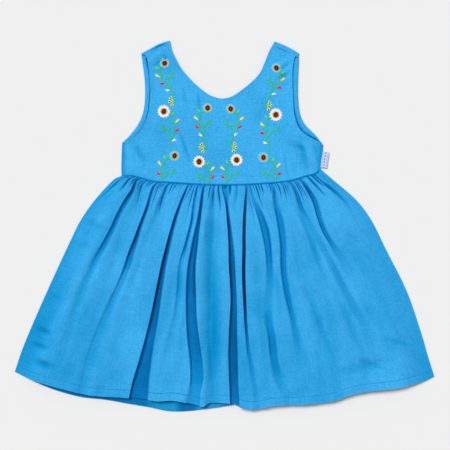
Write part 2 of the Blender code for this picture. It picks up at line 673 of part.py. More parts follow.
def build_binding(name, table):
    """Narrow turned strip sewn round the inside of a back armhole."""
    line, inward = binding_course(table)
    base = BACK_BASE + WALL + SEAM_GAP
    section = (
        (BINDING_INSET, 0.0), (BINDING_INSET, BINDING_WALL * 0.75),
        (BINDING_INSET + BINDING_BEVEL, BINDING_WALL),
        (BINDING_WIDTH - BINDING_BEVEL, BINDING_WALL),
        (BINDING_WIDTH, BINDING_WALL * 0.75), (BINDING_WIDTH, 0.0),
    )
    size = len(section)
    points = []
    for place, way in zip(line, inward):
        for across, up in section:
            points.append((place[0] + way[0] * across, place[1] + way[1] * across, base + up))
    faces = []
    for i in range(len(line) - 1):
        for k in range(size):
            a = i * size + k
            b = i * size + (k + 1) % size
            faces.append((a, b, b + size))
            faces.append((a, b + size, a + size))
    last = (len(line) - 1) * size
    for k in range(1, size - 1):
        faces.append((0, k + 1, k))
        faces.append((last, last + k, last + k + 1))
    run = line[1] - line[0]
    if run[0] * inward[0][1] - run[1] * inward[0][0] > 0.0:
        faces = [tuple(reversed(f)) for f in faces]
    return add_piece(name, points, faces, BLUE)


def build_label():
    """Bare folded tape standing out of the right side seam."""
    side = Outline(SIDE_RIGHT)
    finish = LABEL_PLACE + LABEL_LENGTH / side.length
    roots = side.at(np.linspace(LABEL_PLACE, finish, LABEL_ROWS + 1))
    down = (roots[-1] - roots[0]) / np.linalg.norm(roots[-1] - roots[0])
    out = np.array((-down[1], down[0]))
    rows = LABEL_ROWS
    columns = LABEL_COLUMNS
    top = []
    for root in roots:
        for c in range(columns + 1):
            share = c / columns
            place = root + out * (LABEL_GAP + LABEL_WIDTH * share)
            height = LABEL_BASE + LABEL_WALL + LABEL_CURL * share ** 2
            top.append((place[0], place[1], height))
    top = np.array(top)
    bottom = top - np.array((0.0, 0.0, LABEL_WALL))
    count = len(top)
    faces = []
    for r in range(rows):
        for c in range(columns):
            a = r * (columns + 1) + c
            b = a + columns + 1
            faces.append((a, b, a + 1))
            faces.append((a + 1, b, b + 1))
    rim = [r * (columns + 1) for r in range(rows + 1)]
    rim += [rows * (columns + 1) + c for c in range(1, columns + 1)]
    rim += [r * (columns + 1) + columns for r in range(rows - 1, -1, -1)]
    rim += list(range(columns - 1, 0, -1))
    points = np.concatenate((top, bottom))
    return add_piece("side_label", points, wall_faces(faces, rim, count), TAPE)


def main():
    """Clear the scene and make the seven cloth pieces."""
    for old in list(bpy.data.objects):
        bpy.data.objects.remove(old, do_unlink=True)
    build_bodice_front()
    build_bodice_back()
    Skirt(HEM_FRONT, FRONT_FOLDS, GATHER_FRONT, True).build("skirt_front", BLUE)
    Skirt(HEM_BACK, BACK_RIDGES, GATHER_BACK, False).build("skirt_back", BLUE_INSIDE)
    build_binding("armhole_binding_left", ARM_BACK_LEFT)
    build_binding("armhole_binding_right", ARM_BACK_RIGHT)
    build_label()


main()
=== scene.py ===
"""Child's sleeveless sundress laid flat: thin gathered cloth, embroidery and stitches.

The script is laid out as a Blender add-on and is run as a script. Sizes in the tables
are millimetres on the surface the dress lies on, +X to its right and +Y to the neck.
"""

import math

import bpy
import numpy as np
from bpy.props import FloatProperty, FloatVectorProperty, IntProperty, PointerProperty
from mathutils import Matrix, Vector
from mathutils.geometry import delaunay_2d_cdt


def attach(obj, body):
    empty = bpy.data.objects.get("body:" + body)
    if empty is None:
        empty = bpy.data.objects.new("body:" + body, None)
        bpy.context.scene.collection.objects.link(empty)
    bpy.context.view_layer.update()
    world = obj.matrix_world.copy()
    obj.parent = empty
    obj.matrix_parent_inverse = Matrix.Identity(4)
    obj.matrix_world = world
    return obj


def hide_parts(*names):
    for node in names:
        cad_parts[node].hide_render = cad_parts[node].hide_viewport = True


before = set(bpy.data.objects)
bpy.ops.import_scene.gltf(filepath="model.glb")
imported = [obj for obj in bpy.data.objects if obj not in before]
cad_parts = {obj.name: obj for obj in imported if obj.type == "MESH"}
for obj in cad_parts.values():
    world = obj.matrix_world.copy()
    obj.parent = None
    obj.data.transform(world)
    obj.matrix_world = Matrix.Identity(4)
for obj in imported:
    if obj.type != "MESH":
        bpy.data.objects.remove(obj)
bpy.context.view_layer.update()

bl_info = {
    "name": "Gathered Sundress",
    "version": (1, 0, 0),
    "blender": (4, 5, 0),
    "location": "3D View > Sidebar > Sundress",
    "description": "Makes a child's embroidered sundress laid flat",
    "category": "Add Mesh",
}

# One millimetre in metres, and the finished dress's middle along Y in the tables' frame
MM = 0.001
MIDDLE_Y = 0.327

# The photograph: its size and its middle in pixels, and the real size of one pixel
PHOTO_SIZE = 450
PHOTO_MIDDLE_X = 224.5
PHOTO_MIDDLE_Y = 226.2
PIXEL = 1.3

# The stage: the floor and the window in metres, the camera's lens in millimetres
FLOOR_HALF = 4.0
FLOOR_LOW = -0.0004
LENS = 85.0
SENSOR = 36.0
NEAR_CLIP = 0.01
AMBIENT = 0.37
WINDOW_PLACE = (-1.5, 1.7, 3.6)
WINDOW_ANGLE = 24.0
WINDOW_POWER = 2.35

# Outlines seen from above, as in the model
NECK_FRONT = (
    (-71.4, 241.2), (-69.2, 230.6), (-63.8, 218.7), (-56.4, 205.3), (-43.6, 190.1),
    (-29.2, 177.1), (-17.6, 169.3), (-3.2, 165.6), (9.8, 168.6), (22.8, 177.1),
    (38.4, 190.1), (47.1, 200.8), (52.0, 212.0), (57.6, 226.0), (65.0, 240.0),
)
NECK_BACK = (
    (-71.4, 241.2), (-74.5, 226.0), (-71.0, 206.0), (-59.0, 181.0), (-38.0, 156.0),
    (-3.0, 140.0), (33.0, 156.0), (53.0, 179.0), (63.5, 203.0), (67.0, 224.0),
    (65.0, 240.0),
)
SHOULDER_LEFT = ((-71.4, 241.2), (-84.8, 237.0), (-93.7, 232.2), (-108.3, 224.2))
SHOULDER_RIGHT = ((65.0, 240.0), (75.0, 236.2), (84.4, 231.8), (96.7, 224.6))
ARM_FRONT_LEFT = (
    (-108.3, 224.2), (-101.1, 219.4), (-97.9, 205.3), (-95.6, 190.3), (-95.9, 177.1),
    (-97.1, 162.1), (-98.8, 147.2), (-104.8, 130.0), (-116.0, 116.6), (-132.9, 108.4),
)
ARM_FRONT_RIGHT = (
    (96.7, 224.6), (91.0, 219.0), (88.5, 203.8), (88.0, 188.9), (88.5, 173.9),
    (89.3, 159.0), (90.6, 144.0), (96.1, 128.2), (105.3, 119.0), (127.9, 106.0),
)
ARM_BACK_LEFT = (
    (-108.3, 224.2), (-106.5, 211.2), (-104.3, 195.0), (-103.2, 173.9), (-104.9, 151.6),
    (-111.5, 133.8), (-123.5, 117.4), (-132.9, 108.4),
)
ARM_BACK_RIGHT = (
    (96.7, 224.6), (96.7, 215.0), (95.6, 190.0), (95.7, 166.5), (98.2, 146.0),
    (104.8, 132.2), (118.2, 118.3), (127.9, 106.0),
)
SIDE_LEFT = ((-132.9, 108.4), (-133.5, 96.0), (-134.0, 78.0), (-133.7, 65.8))
SIDE_RIGHT = ((127.9, 106.0), (127.4, 96.0), (125.6, 84.0), (124.6, 74.8))
WAIST = (
    (-133.7, 65.4), (-120.0, 65.6), (-105.0, 61.8), (-93.0, 58.5), (-72.0, 57.0),
    (-27.0, 54.3), (23.0, 54.2), (67.0, 57.0), (88.0, 60.0), (105.0, 65.0),
    (118.0, 68.6), (124.6, 74.4),
)
SKIRT_LEFT = (
    (-133.7, 65.4), (-145.5, 59.0), (-168.3, 34.1), (-186.6, 8.1), (-199.6, -17.9),
    (-217.8, -56.9), (-241.2, -108.9), (-261.5, -157.0), (-272.4, -189.2),
)
SKIRT_RIGHT = (
    (124.6, 74.4), (141.1, 60.1), (171.0, 34.1), (190.5, 8.1), (210.0, -30.9),
    (236.0, -82.9), (254.2, -134.9), (264.5, -170.0), (272.4, -195.3),
)
HEM_FRONT = (
    (-272.4, -189.2), (-247.0, -200.0), (-202.0, -212.6), (-172.0, -219.0),
    (-137.0, -221.3), (-106.0, -223.7), (-86.0, -226.2), (-67.0, -225.4),
    (-42.0, -229.9), (-28.0, -233.4), (-18.0, -228.4), (8.0, -229.6), (23.0, -235.2),
    (38.0, -237.2), (54.0, -234.2), (66.0, -232.2), (107.0, -230.6), (142.0, -226.0),
    (164.0, -217.9), (190.0, -213.2), (223.0, -209.6), (257.0, -201.4), (272.4, -195.3),
)
HEM_BACK = (
    (-272.4, -189.2), (-245.1, -202.6), (-217.2, -213.6), (-187.5, -221.5),
    (-160.0, -224.6), (-135.8, -228.5), (-102.2, -234.1), (-72.0, -240.2),
    (-42.5, -239.7), (-12.0, -235.6), (16.0, -231.4), (55.0, -229.4), (107.0, -226.6),
    (150.0, -219.0), (190.0, -209.6), (232.0, -203.6), (272.4, -195.3),
)

# Long folds of the front skirt: gathers of cloth before each, the widths of its left and
# right flank, and its stations: pixel row, where its floor starts and ends, and its depth
FRONT_FOLDS = (
    (2, 1.0, 1.8, (
        (179.0, 121.4, 122.2, 1.6), (183.0, 116.2, 117.6, 3.6), (189.2, 109.4, 110.9, 4.0),
        (194.0, 104.0, 105.4, 3.2), (198.6, 99.2, 100.4, 1.8), (210.0, 90.0, 91.2, 0.5),
        (300.0, 47.0, 49.0, 0.0))),
    (2, 1.2, 1.6, (
        (181.0, 136.0, 137.2, 3.2), (190.0, 132.0, 134.2, 4.2), (199.0, 126.2, 129.6, 4.2),
        (212.4, 118.8, 121.6, 4.2), (229.6, 110.9, 114.1, 4.1), (244.9, 102.9, 106.4, 3.7),
        (262.0, 94.2, 96.4, 2.4), (282.0, 85.6, 87.8, 1.6), (330.0, 68.0, 71.0, 1.1),
        (385.0, 52.0, 55.0, 0.4))),
    (2, 2.5, 3.5, (
        (185.8, 141.6, 142.2, 2.4), (200.0, 138.4, 139.2, 1.6), (225.0, 131.0, 133.0, 0.8),
        (300.0, 106.0, 108.0, 0.3), (395.0, 70.0, 72.0, 0.0))),
    (2, 1.2, 2.6, (
        (187.0, 153.4, 154.2, 3.0), (208.6, 146.2, 147.8, 5.0), (225.0, 139.9, 142.0, 5.6),
        (237.2, 135.4, 138.2, 5.8), (252.0, 129.6, 133.6, 5.4), (264.0, 125.8, 130.6, 4.6),
        (277.0, 121.6, 125.6, 3.4), (302.0, 110.8, 113.2, 2.2), (338.0, 95.6, 98.4, 1.7),
        (396.0, 81.0, 85.0, 0.8))),
    (3, 2.0, 4.0, (
        (187.6, 166.4, 167.0, 2.4), (205.0, 160.6, 161.4, 2.0), (228.0, 158.2, 160.2, 1.4),
        (256.0, 152.0, 156.0, 0.8), (330.0, 128.0, 131.0, 1.0), (372.0, 119.0, 122.0, 0.8),
        (398.0, 112.0, 115.0, 0.4))),
    (3, 1.1, 2.6, (
        (188.6, 186.6, 187.2, 2.6), (202.9, 180.2, 181.6, 4.0), (218.0, 174.6, 176.6, 5.6),
        (233.4, 170.0, 172.6, 6.2), (256.3, 164.0, 167.2, 6.4), (286.9, 157.4, 161.8, 6.4),
        (325.0, 149.4, 156.4, 6.2), (361.3, 139.8, 150.4, 6.0), (388.0, 132.2, 147.6, 5.7),
        (402.0, 129.4, 147.6, 5.4))),
    (3, 1.2, 2.4, (
        (188.8, 196.8, 197.4, 2.6), (208.6, 193.4, 194.4, 3.4), (220.0, 191.6, 192.8, 4.2),
        (241.0, 186.4, 188.0, 4.0), (262.0, 180.8, 182.4, 3.0), (286.9, 178.4, 180.0, 3.0),
        (313.6, 175.8, 177.6, 2.4), (338.0, 170.0, 172.0, 1.5), (372.0, 162.6, 164.6, 0.8),
        (398.0, 158.0, 160.0, 0.4))),
    (2, 2.2, 1.3, (
        (189.0, 203.4, 204.2, 3.2), (203.0, 201.2, 202.4, 4.6), (218.2, 198.8, 200.6, 5.6),
        (237.2, 194.6, 198.2, 6.0), (260.1, 190.2, 195.6, 6.0), (294.5, 187.6, 195.6, 5.7),
        (313.6, 187.6, 196.2, 5.7), (342.2, 189.2, 199.6, 5.6), (361.3, 191.4, 202.4, 5.2),
        (378.4, 192.0, 203.0, 4.4), (391.0, 191.0, 200.0, 3.4), (403.0, 188.4, 199.4, 3.2))),
    (2, 3.6, 1.4, (
        (189.2, 213.6, 214.2, 2.8), (205.0, 212.4, 213.8, 3.0), (232.0, 210.2, 212.6, 2.6),
        (262.0, 208.0, 210.8, 2.2), (300.0, 206.6, 209.6, 2.6), (332.0, 206.4, 209.4, 2.6),
        (371.0, 208.0, 211.2, 1.9), (403.0, 209.0, 212.0, 0.8))),
    (2, 1.0, 1.4, (
        (189.4, 222.6, 227.2, 3.0), (197.0, 224.4, 227.4, 4.0), (204.8, 226.0, 227.6, 5.0),
        (218.0, 227.2, 229.2, 5.8), (237.0, 228.6, 231.8, 6.1), (260.0, 229.2, 234.2, 6.2),
        (294.5, 231.0, 236.0, 6.2), (328.8, 229.6, 236.6, 6.2), (351.7, 228.8, 237.2, 6.0),
        (389.9, 230.0, 238.4, 5.7), (404.0, 230.4, 239.4, 5.2))),
    (2, 1.3, 0.9, (
        (189.2, 246.4, 247.2, 3.2), (204.8, 244.6, 246.2, 5.0), (218.0, 243.6, 245.6, 6.0),
        (256.3, 242.8, 245.2, 6.5), (294.5, 243.4, 245.6, 6.4), (321.0, 244.8, 246.8, 5.4),
        (347.9, 247.6, 249.2, 3.4), (374.6, 252.4, 254.0, 2.3), (404.0, 257.4, 259.4, 1.7))),
    (3, 2.4, 2.2, (
        (188.8, 250.6, 251.4, 2.2), (201.0, 254.0, 255.2, 3.0), (216.3, 258.8, 262.8, 4.6),
        (233.4, 263.2, 268.4, 4.9), (256.3, 267.2, 271.0, 4.4), (283.0, 269.2, 271.8, 2.8),
        (304.0, 268.4, 270.6, 2.0), (317.4, 267.0, 271.0, 3.2), (338.4, 269.8, 274.4, 4.0),
        (357.5, 271.8, 276.4, 3.8), (380.3, 277.4, 281.4, 2.8), (393.7, 285.2, 288.6, 1.8),
        (402.0, 288.0, 291.0, 1.4))),
    (4, 2.2, 2.8, (
        (188.0, 273.2, 274.0, 2.8), (204.8, 274.8, 277.0, 3.6), (222.0, 278.0, 282.2, 4.4),
        (244.9, 281.0, 284.8, 4.5), (265.9, 281.4, 284.8, 4.3), (286.9, 284.2, 287.4, 4.0),
        (309.7, 289.4, 292.0, 3.8), (328.8, 294.0, 296.4, 3.2), (346.0, 298.4, 300.6, 2.2),
        (363.0, 303.0, 305.2, 1.4), (396.0, 311.0, 314.0, 0.6))),
    (4, 2.6, 1.2, (
        (186.4, 292.9, 293.9, 3.0), (195.0, 296.4, 297.8, 3.6), (204.0, 298.9, 300.9, 3.8),
        (213.0, 302.2, 304.4, 3.3), (221.0, 307.4, 309.0, 2.4), (243.0, 320.4, 321.8, 2.7),
        (262.0, 329.8, 332.2, 3.1), (288.8, 342.6, 345.8, 2.7), (315.5, 358.0, 361.2, 2.1),
        (334.0, 369.4, 372.6, 1.3), (388.0, 386.0, 390.0, 0.2))),
    (3, 1.3, 2.4, (
        (180.6, 300.4, 301.6, 3.4), (190.0, 306.4, 308.4, 4.8), (201.0, 312.2, 315.2, 4.9),
        (216.3, 316.8, 319.8, 5.0), (231.5, 322.4, 325.2, 4.8), (244.9, 330.4, 333.2, 3.8),
        (257.0, 338.4, 341.6, 2.2), (276.0, 350.0, 354.0, 1.0), (320.0, 374.0, 378.0, 0.3),
        (384.0, 396.0, 400.0, 0.0))),
    (2, 1.2, 1.8, (
        (181.5, 320.4, 321.4, 3.2), (186.0, 325.8, 328.2, 5.0), (191.4, 332.4, 335.2, 5.4),
        (198.0, 340.4, 342.4, 5.0), (205.0, 347.0, 348.6, 4.0), (214.0, 352.6, 354.0, 2.0),
        (230.0, 361.0, 363.0, 0.6), (260.0, 374.0, 377.0, 0.2), (372.0, 411.0, 414.0, 0.0))),
)

# Ridges of the back skirt: gathers before each, two flanks, and its stations: shares down
# and across, half width of the top and height
BACK_RIDGES = (
    (4, 7, 9, ((0.0, 0.085, 0.5, 1.2), (0.5, 0.085, 1.0, 1.1), (1.0, 0.088, 1.5, 0.8))),
    (4, 8, 7, ((0.0, 0.185, 0.5, 1.3), (0.5, 0.192, 1.5, 1.2), (1.0, 0.185, 2.0, 0.7))),
    (4, 7, 10, ((0.0, 0.290, 0.5, 1.2), (0.5, 0.280, 1.0, 1.4), (1.0, 0.288, 2.0, 1.2))),
    (4, 6, 8, ((0.0, 0.390, 0.5, 1.3), (0.5, 0.384, 1.0, 0.9), (1.0, 0.378, 1.5, 0.4))),
    (4, 8, 8, ((0.0, 0.490, 0.5, 1.2), (0.5, 0.498, 1.5, 1.4), (1.0, 0.502, 2.5, 1.3))),
    (4, 7, 7, ((0.0, 0.600, 0.5, 1.3), (0.5, 0.606, 1.0, 1.0), (1.0, 0.602, 1.5, 0.6))),
    (4, 9, 7, ((0.0, 0.700, 0.5, 1.2), (0.5, 0.700, 1.5, 1.3), (1.0, 0.712, 2.0, 1.2))),
    (4, 7, 8, ((0.0, 0.800, 0.5, 1.3), (0.5, 0.812, 1.0, 0.8), (1.0, 0.816, 1.5, 0.5))),
    (4, 7, 7, ((0.0, 0.905, 0.5, 1.2), (0.5, 0.908, 1.0, 1.2), (1.0, 0.912, 2.0, 0.8))),
)

# Gathers after the last fold of the front and after the last ridge of the back
FRONT_LAST = 5
BACK_LAST = 4

# Shade of the back hem's inside: stops across and values
BACK_SHADE = ((0.0, 0.315, 0.335, 0.388, 0.402, 0.430, 0.445, 0.53, 0.56, 1.0),
              (0.62, 0.62, 0.34, 0.28, 0.66, 0.66, 0.26, 0.26, 0.60, 0.60))

# Soft troughs of the front skirt: from and to, as shares across and down, depth and half
# width. One that is shorter down than LEVEL runs across
LEVEL = 0.06
SOFT_NAMES = ("s0", "t0", "s1", "t1", "depth", "width")
SKIRT_SOFT = (
    (0.118, 0.20, 0.080, 0.72, 1.3, 10.0),
    (0.150, 0.22, 0.128, 0.95, 0.8, 12.0),
    (0.225, 0.30, 0.215, 1.00, 0.9, 12.0),
    (0.248, 0.10, 0.236, 0.45, 0.9, 6.0),
    (0.330, 0.55, 0.312, 1.02, 1.2, 9.0),
    (0.455, 0.22, 0.476, 1.04, 3.6, 13.0),
    (0.486, 0.20, 0.488, 0.95, 0.7, 7.0),
    (0.598, 0.30, 0.604, 0.96, 0.8, 10.0),
    (0.655, 0.20, 0.650, 0.56, 0.8, 7.0),
    (0.742, 0.16, 0.742, 1.00, 1.0, 13.0),
    (0.772, 0.30, 0.788, 0.80, 0.8, 9.0),
    (0.812, 0.55, 0.852, 0.92, 1.7, 8.0),
    (0.900, 0.30, 0.932, 0.72, 0.9, 14.0),
    (0.790, 0.90, 0.905, 0.885, 1.3, 9.0),
    (0.826, 0.856, 0.908, 0.930, 1.2, 7.0),
    (0.906, 0.792, 0.966, 0.838, 1.6, 4.5),
    (0.650, 0.965, 0.700, 0.935, 0.9, 7.0),
    (0.729, 0.527, 0.773, 0.840, 1.4, 6.0),
    (0.777, 0.144, 0.796, 0.549, 2.0, 5.5),
    (0.629, 0.824, 0.656, 0.916, 1.2, 6.0),
    (0.925, 0.402, 0.948, 0.464, 1.2, 5.0),
    (0.892, 0.291, 0.938, 0.378, 1.0, 4.5),
    (0.045, 0.55, 0.030, 0.90, 0.9, 11.0),
    (0.013, 0.266, 0.089, 0.291, 1.8, 7.0),
    (0.017, 0.378, 0.073, 0.380, 1.6, 5.5),
    (0.008, 0.617, 0.041, 0.634, 2.0, 5.0),
    (0.009, 0.778, 0.052, 0.786, 4.4, 5.5),
    (0.015, 0.850, 0.058, 0.852, 3.6, 5.0),
    (0.040, 0.920, 0.085, 0.919, 3.6, 7.0),
)

# How high the front skirt stands between its folds, by shares of its length
CREST_HEIGHTS = (0.0, 0.004, 0.014, 0.03, 0.07, 0.14, 0.5, 1.0)
CREST_RISE = (0.0, 0.3, 2.8, 4.2, 5.6, 6.4, 6.4, 6.6)

# Folds: least half floor, widest flank, how a shallow fold's flanks widen, and the width
# of the painted shade at a fold's foot
HALF_FLOOR = 0.3
FLANK_SPAN = 4.5
SHALLOW_WIDER = 4.0
SHALLOW_UNDER = 4.6
SHALLOW_FROM = 0.22
CORE_WIDTH = 1.5

# Gathers: how much of the front they cut, their height at the back, and the shortest and
# longest of the large ones, and of the small ones between, as shares of the length
GATHER_CUT = 0.9
GATHER_BACK = 1.2
GATHER_SHORT = 0.07
GATHER_LONG = 0.26
TUCK_SHORT = 0.035
TUCK_LONG = 0.135

# Heights of the two layers, and how far from the sides and the waist they are reached
FRONT_EDGE = 1.05
BACK_EDGE = 0.3
LAYER_ROOM = 1.15
BACK_RELIEF = 1.5
SIDE_FALL = (14.0, 42.0)
WAIST_FALL = 0.03

# Hem: its depth, its rise, and the number and height of its puckers; its stitched groove
HEM_DEPTH = 10.5
HEM_THICKER = 0.7
HEM_RISE = 0.30
HEM_PUCKERS = 260.0
HEM_PUCKER = 0.16
GROOVE_DEPTH = 0.45
GROOVE_PLACE = 0.6
GROOVE_WIDTH = 0.8

# Net of the skirt: rows, closer at the waist and at the hem, and columns for each gather
ROWS = 130
WAIST_ROWS_TO = 0.10
HEM_ROWS_FROM = 0.955
HEM_ROWS = 12
BITS = 8
FLANK_BITS = 3
LEAST_STEP = 6e-4

# Painted shade mixed into the cloth's blue, from 0, lit, to 1. Of the skirt: everywhere,
# at the sides, towards the left, low down, near the waist, in soft troughs, folds, their
# cores, gathers and the hem
ALL_SHADE = 0.03
SIDE_SHADE = 0.14
LEFT_SHADE = 0.07
LOW_SHADE = 0.05
HIGH_SHADE = 0.05
SOFT_SHADE = 0.085
FOLD_SHADE = 0.62
CORE_SHADE = 0.38
GATHER_SHADE = 0.90
GROOVE_SHADE = 0.22

# Painted shade in the same way at the waist seam and in the bodice's wrinkles, and painted
# shadow on the back bodice and the strips under the front bodice's edges. Then the share
# of painted shade kept on a piece's underside
SEAM_SHADE = 0.62
WRINKLE_SHADE = 0.36
UNDER_SHADE = 0.85
STRIP_SHADE = 0.8
UNDERSIDE = 0.3

# How far the waist seam's shade reaches down the skirt
SEAM_DEPTH = 2.4

# Unevenness of the skirt: bumps across, bumps down, height
SKIRT_UNEVEN = ((9.0, 4.0, 0.8), (17.0, 12.0, 0.6), (44.0, 5.0, 0.5), (52.0, 30.0, 0.26),
                (105.0, 12.0, 0.22))

# Soft wrinkles of the bodice: from, to, half width and height, up or down
WRINKLE_NAMES = ("x0", "y0", "x1", "y1", "width", "height")
BODICE_WRINKLES = (
    (106.0, 110.0, 120.0, 80.0, 8.0, 0.8),
    (98.0, 112.0, 108.0, 70.0, 7.5, -0.55),
    (99.0, 117.0, 121.0, 100.0, 4.0, -0.7),
    (84.0, 108.0, 116.0, 96.0, 6.0, -0.6),
    (118.0, 104.0, 116.0, 78.0, 6.0, -0.6),
    (121.0, 96.0, 122.0, 80.0, 5.0, -0.7),
    (-126.0, 100.0, -112.0, 78.0, 8.0, 1.0),
    (-116.0, 106.0, -104.0, 84.0, 7.0, -0.7),
    (-130.0, 84.0, -100.0, 68.0, 5.0, 0.5),
    (-57.0, 120.0, -45.0, 84.0, 3.4, -1.0),
    (-62.0, 116.0, -50.0, 82.0, 4.0, 0.7),
    (78.0, 92.0, 82.0, 62.0, 3.5, -0.5),
    (84.0, 94.0, 88.0, 64.0, 4.0, 0.5),
    (-96.0, 214.0, -82.0, 226.0, 3.0, 1.2),
    (-95.0, 206.0, -76.0, 218.0, 2.6, -1.2),
    (-78.0, 222.0, -74.0, 206.0, 2.6, -1.0),
    (86.0, 217.0, 72.0, 208.0, 2.4, 1.2),
    (86.0, 211.0, 70.0, 203.0, 2.4, -1.2),
    (86.0, 204.0, 72.0, 197.0, 2.4, 1.1),
    (86.0, 198.0, 68.0, 191.0, 2.6, -1.1),
    (87.0, 186.0, 76.0, 182.0, 2.4, -0.7),
    (-54.0, 184.0, -50.0, 158.0, 3.2, -0.6),
    (-34.0, 172.0, -31.0, 146.0, 2.8, -1.0),
    (26.0, 170.0, 20.0, 150.0, 3.5, 0.4),
    (-30.0, 62.0, -28.0, 78.0, 4.0, 0.4),
    (40.0, 62.0, 43.0, 80.0, 4.0, 0.4),
)

# Unevenness of the bodice: size of a bump across and down, a shift and height
BODICE_UNEVEN = ((26.0, 30.0, 0.0, 0.35), (9.0, 11.0, 7.0, 0.10))

# Rise of the bodice over the waist seam's turnings: distance from the seam, width, height
WAIST_RIDGES = ((0.6, 1.8, 0.35), (6.5, 3.0, 0.25))

# Bodice: height of its cloth, its rise over the armhole strips, its edges and its net
BODICE_MID = 2.05
BODICE_LIFT = 1.1
BODICE_FALL = 9.0
EDGE_ROLL = 0.35
EDGE_THICKER = 0.25
EDGE_REACH = 3.0
WAIST_STEP = 2.2
WAIST_DROP = 0.7
WAIST_LINES = (-0.3, -1.6)
NET = 2.6
BACK_NET = 1.6 * NET
EDGE_STEP = 2.4
SHARP_ANGLE = 50.0

# Shoulders, left and right: how much shorter the front straps are, and how far the back
# ones turn onto them. Then how tight they turn, and steps round and back
FRONT_SHORT = (1.8, 5.8)
BACK_OVER = (1.0, 5.0)
TURN_LOOSE = 0.1
TURN_STEPS = 10
BACK_STEPS = 4

# Armhole strips: from and to, as shares of the armhole, net, cloth, height and seams
STRIP_FROM = 0.05
STRIP_TO = 0.90
STRIP_ROWS = 130
STRIP_COLUMNS = 10
STRIP_START = 0.25
STRIP_MIDDLE = 3.2
STRIP_CLOTH = 0.45
STRIP_BASE = 0.95
STRIP_RISE = 0.42
STRIP_GROOVES = (0.16, 0.84)
STRIP_SEAM = 5.6
STRIP_TOP = 1.42
STRIP_PITCH = 2.6
STRIP_STITCH = 1.9

# Label: where it starts in the side seam, how far it reaches into it, cloth and net
LABEL_PLACE = 0.28
LABEL_ROOT = -0.8
LABEL_CLOTH = 0.5
LABEL_ROWS = 30
LABEL_COLUMNS = 14

# Tape of the label, in metres: twill, lozenges and edge lines
TWILL = 0.0005
LOZENGE_PITCH = 0.0038
LOZENGE_REACH = 0.0019
LOZENGE_EDGE = 0.0006
TAPE_LINE = 0.0029
TAPE_LINE_HALF = 0.0003


def smooth(value):
    """Ease from 0 to 1."""
    value = np.clip(value, 0.0, 1.0)
    return value * value * (3.0 - 2.0 * value)


def through(stops, values, where):
    """Read a soft curve through the values at the stops."""
    stops = np.asarray(stops, float)
    values = np.asarray(values, float)
    slopes = np.gradient(values, stops)
    where = np.clip(np.asarray(where, float), stops[0], stops[-1])
    index = np.clip(np.searchsorted(stops, where, side="right") - 1, 0, len(stops) - 2)
    span = stops[index + 1] - stops[index]
    u = (where - stops[index]) / span
    rise = values[index + 1] - values[index]
    first = slopes[index] * span
    last = slopes[index + 1] * span
    bend = (first - rise) * (1.0 - u) + (rise - last) * u
    return values[index] + rise * u + u * (1.0 - u) * bend


def to_line(x, y, x0, y0, x1, y1):
    """Distance from places to a straight line's stretch, and the share along it."""
    run_x = x1 - x0
    run_y = y1 - y0
    share = ((x - x0) * run_x + (y - y0) * run_y) / (run_x ** 2 + run_y ** 2)
    share = np.clip(share, 0.0, 1.0)
    return np.hypot(x - x0 - share * run_x, y - y0 - share * run_y), share


def from_photo(px, py):
    """Place on the dress, in millimetres, of a pixel of the photograph."""
    return (px - PHOTO_MIDDLE_X) * PIXEL, (PHOTO_MIDDLE_Y - py) * PIXEL


class SoftNoise:
    """Even, seeded unevenness between -1 and 1."""

    def __init__(self, seed, size=64):
        self.size = size
        self.table = np.random.default_rng(seed).uniform(-1.0, 1.0, (size, size))

    def at(self, x, y):
        """Value at places; one unit is one bump."""
        ix = np.floor(x).astype(int)
        iy = np.floor(y).astype(int)
        fx = smooth(x - ix)
        fy = smooth(y - iy)
        n = self.size
        a = self.table[ix % n, iy % n] * (1 - fx) + self.table[(ix + 1) % n, iy % n] * fx
        b = self.table[ix % n, (iy + 1) % n] * (1 - fx)
        b = b + self.table[(ix + 1) % n, (iy + 1) % n] * fx
        return a * (1 - fy) + b * fy


class Outline:
    """A soft line through a table of points, read by the share of its length."""

    def __init__(self, points, steps=24):
        points = np.asarray(points, float)
        ends = (2.0 * points[:1] - points[1:2], 2.0 * points[-1:] - points[-2:-1])
        full = np.concatenate((ends[0], points, ends[1]))
        u = np.linspace(0.0, 1.0, steps, endpoint=False)[:, None]
        parts = []
        for i in range(len(points) - 1):
            p0, p1, p2, p3 = full[i:i + 4]
            part = 2.0 * p1 + (p2 - p0) * u
            part = part + (2.0 * p0 - 5.0 * p1 + 4.0 * p2 - p3) * u ** 2
            part = part + (3.0 * p1 - p0 - 3.0 * p2 + p3) * u ** 3
            parts.append(0.5 * part)
        parts.append(points[-1:])
        self.points = np.concatenate(parts)
        lengths = np.linalg.norm(np.diff(self.points, axis=0), axis=1)
        self.share = np.concatenate(([0.0], np.cumsum(lengths)))
        self.length = self.share[-1]
        self.share = self.share / self.length

    def at(self, share):
        """Points at shares of the length."""
        x = np.interp(share, self.share, self.points[:, 0])
        y = np.interp(share, self.share, self.points[:, 1])
        return np.stack((x, y), axis=-1)

    def even(self, step, start=0.0, end=1.0):
        """Points about one step apart between two shares."""
        count = max(2, int(round((end - start) * self.length / step)) + 1)
        return self.at(np.linspace(start, end, count))

    def distance(self, x, y):
        """Shortest way from each place to the line."""
        near = np.full(np.shape(x), 1e9)
        stops = np.concatenate((self.points[:-1:4], self.points[-1:]))
        for (x0, y0), (x1, y1) in zip(stops, stops[1:]):
            near = np.minimum(near, to_line(x, y, x0, y0, x1, y1)[0])
        return near


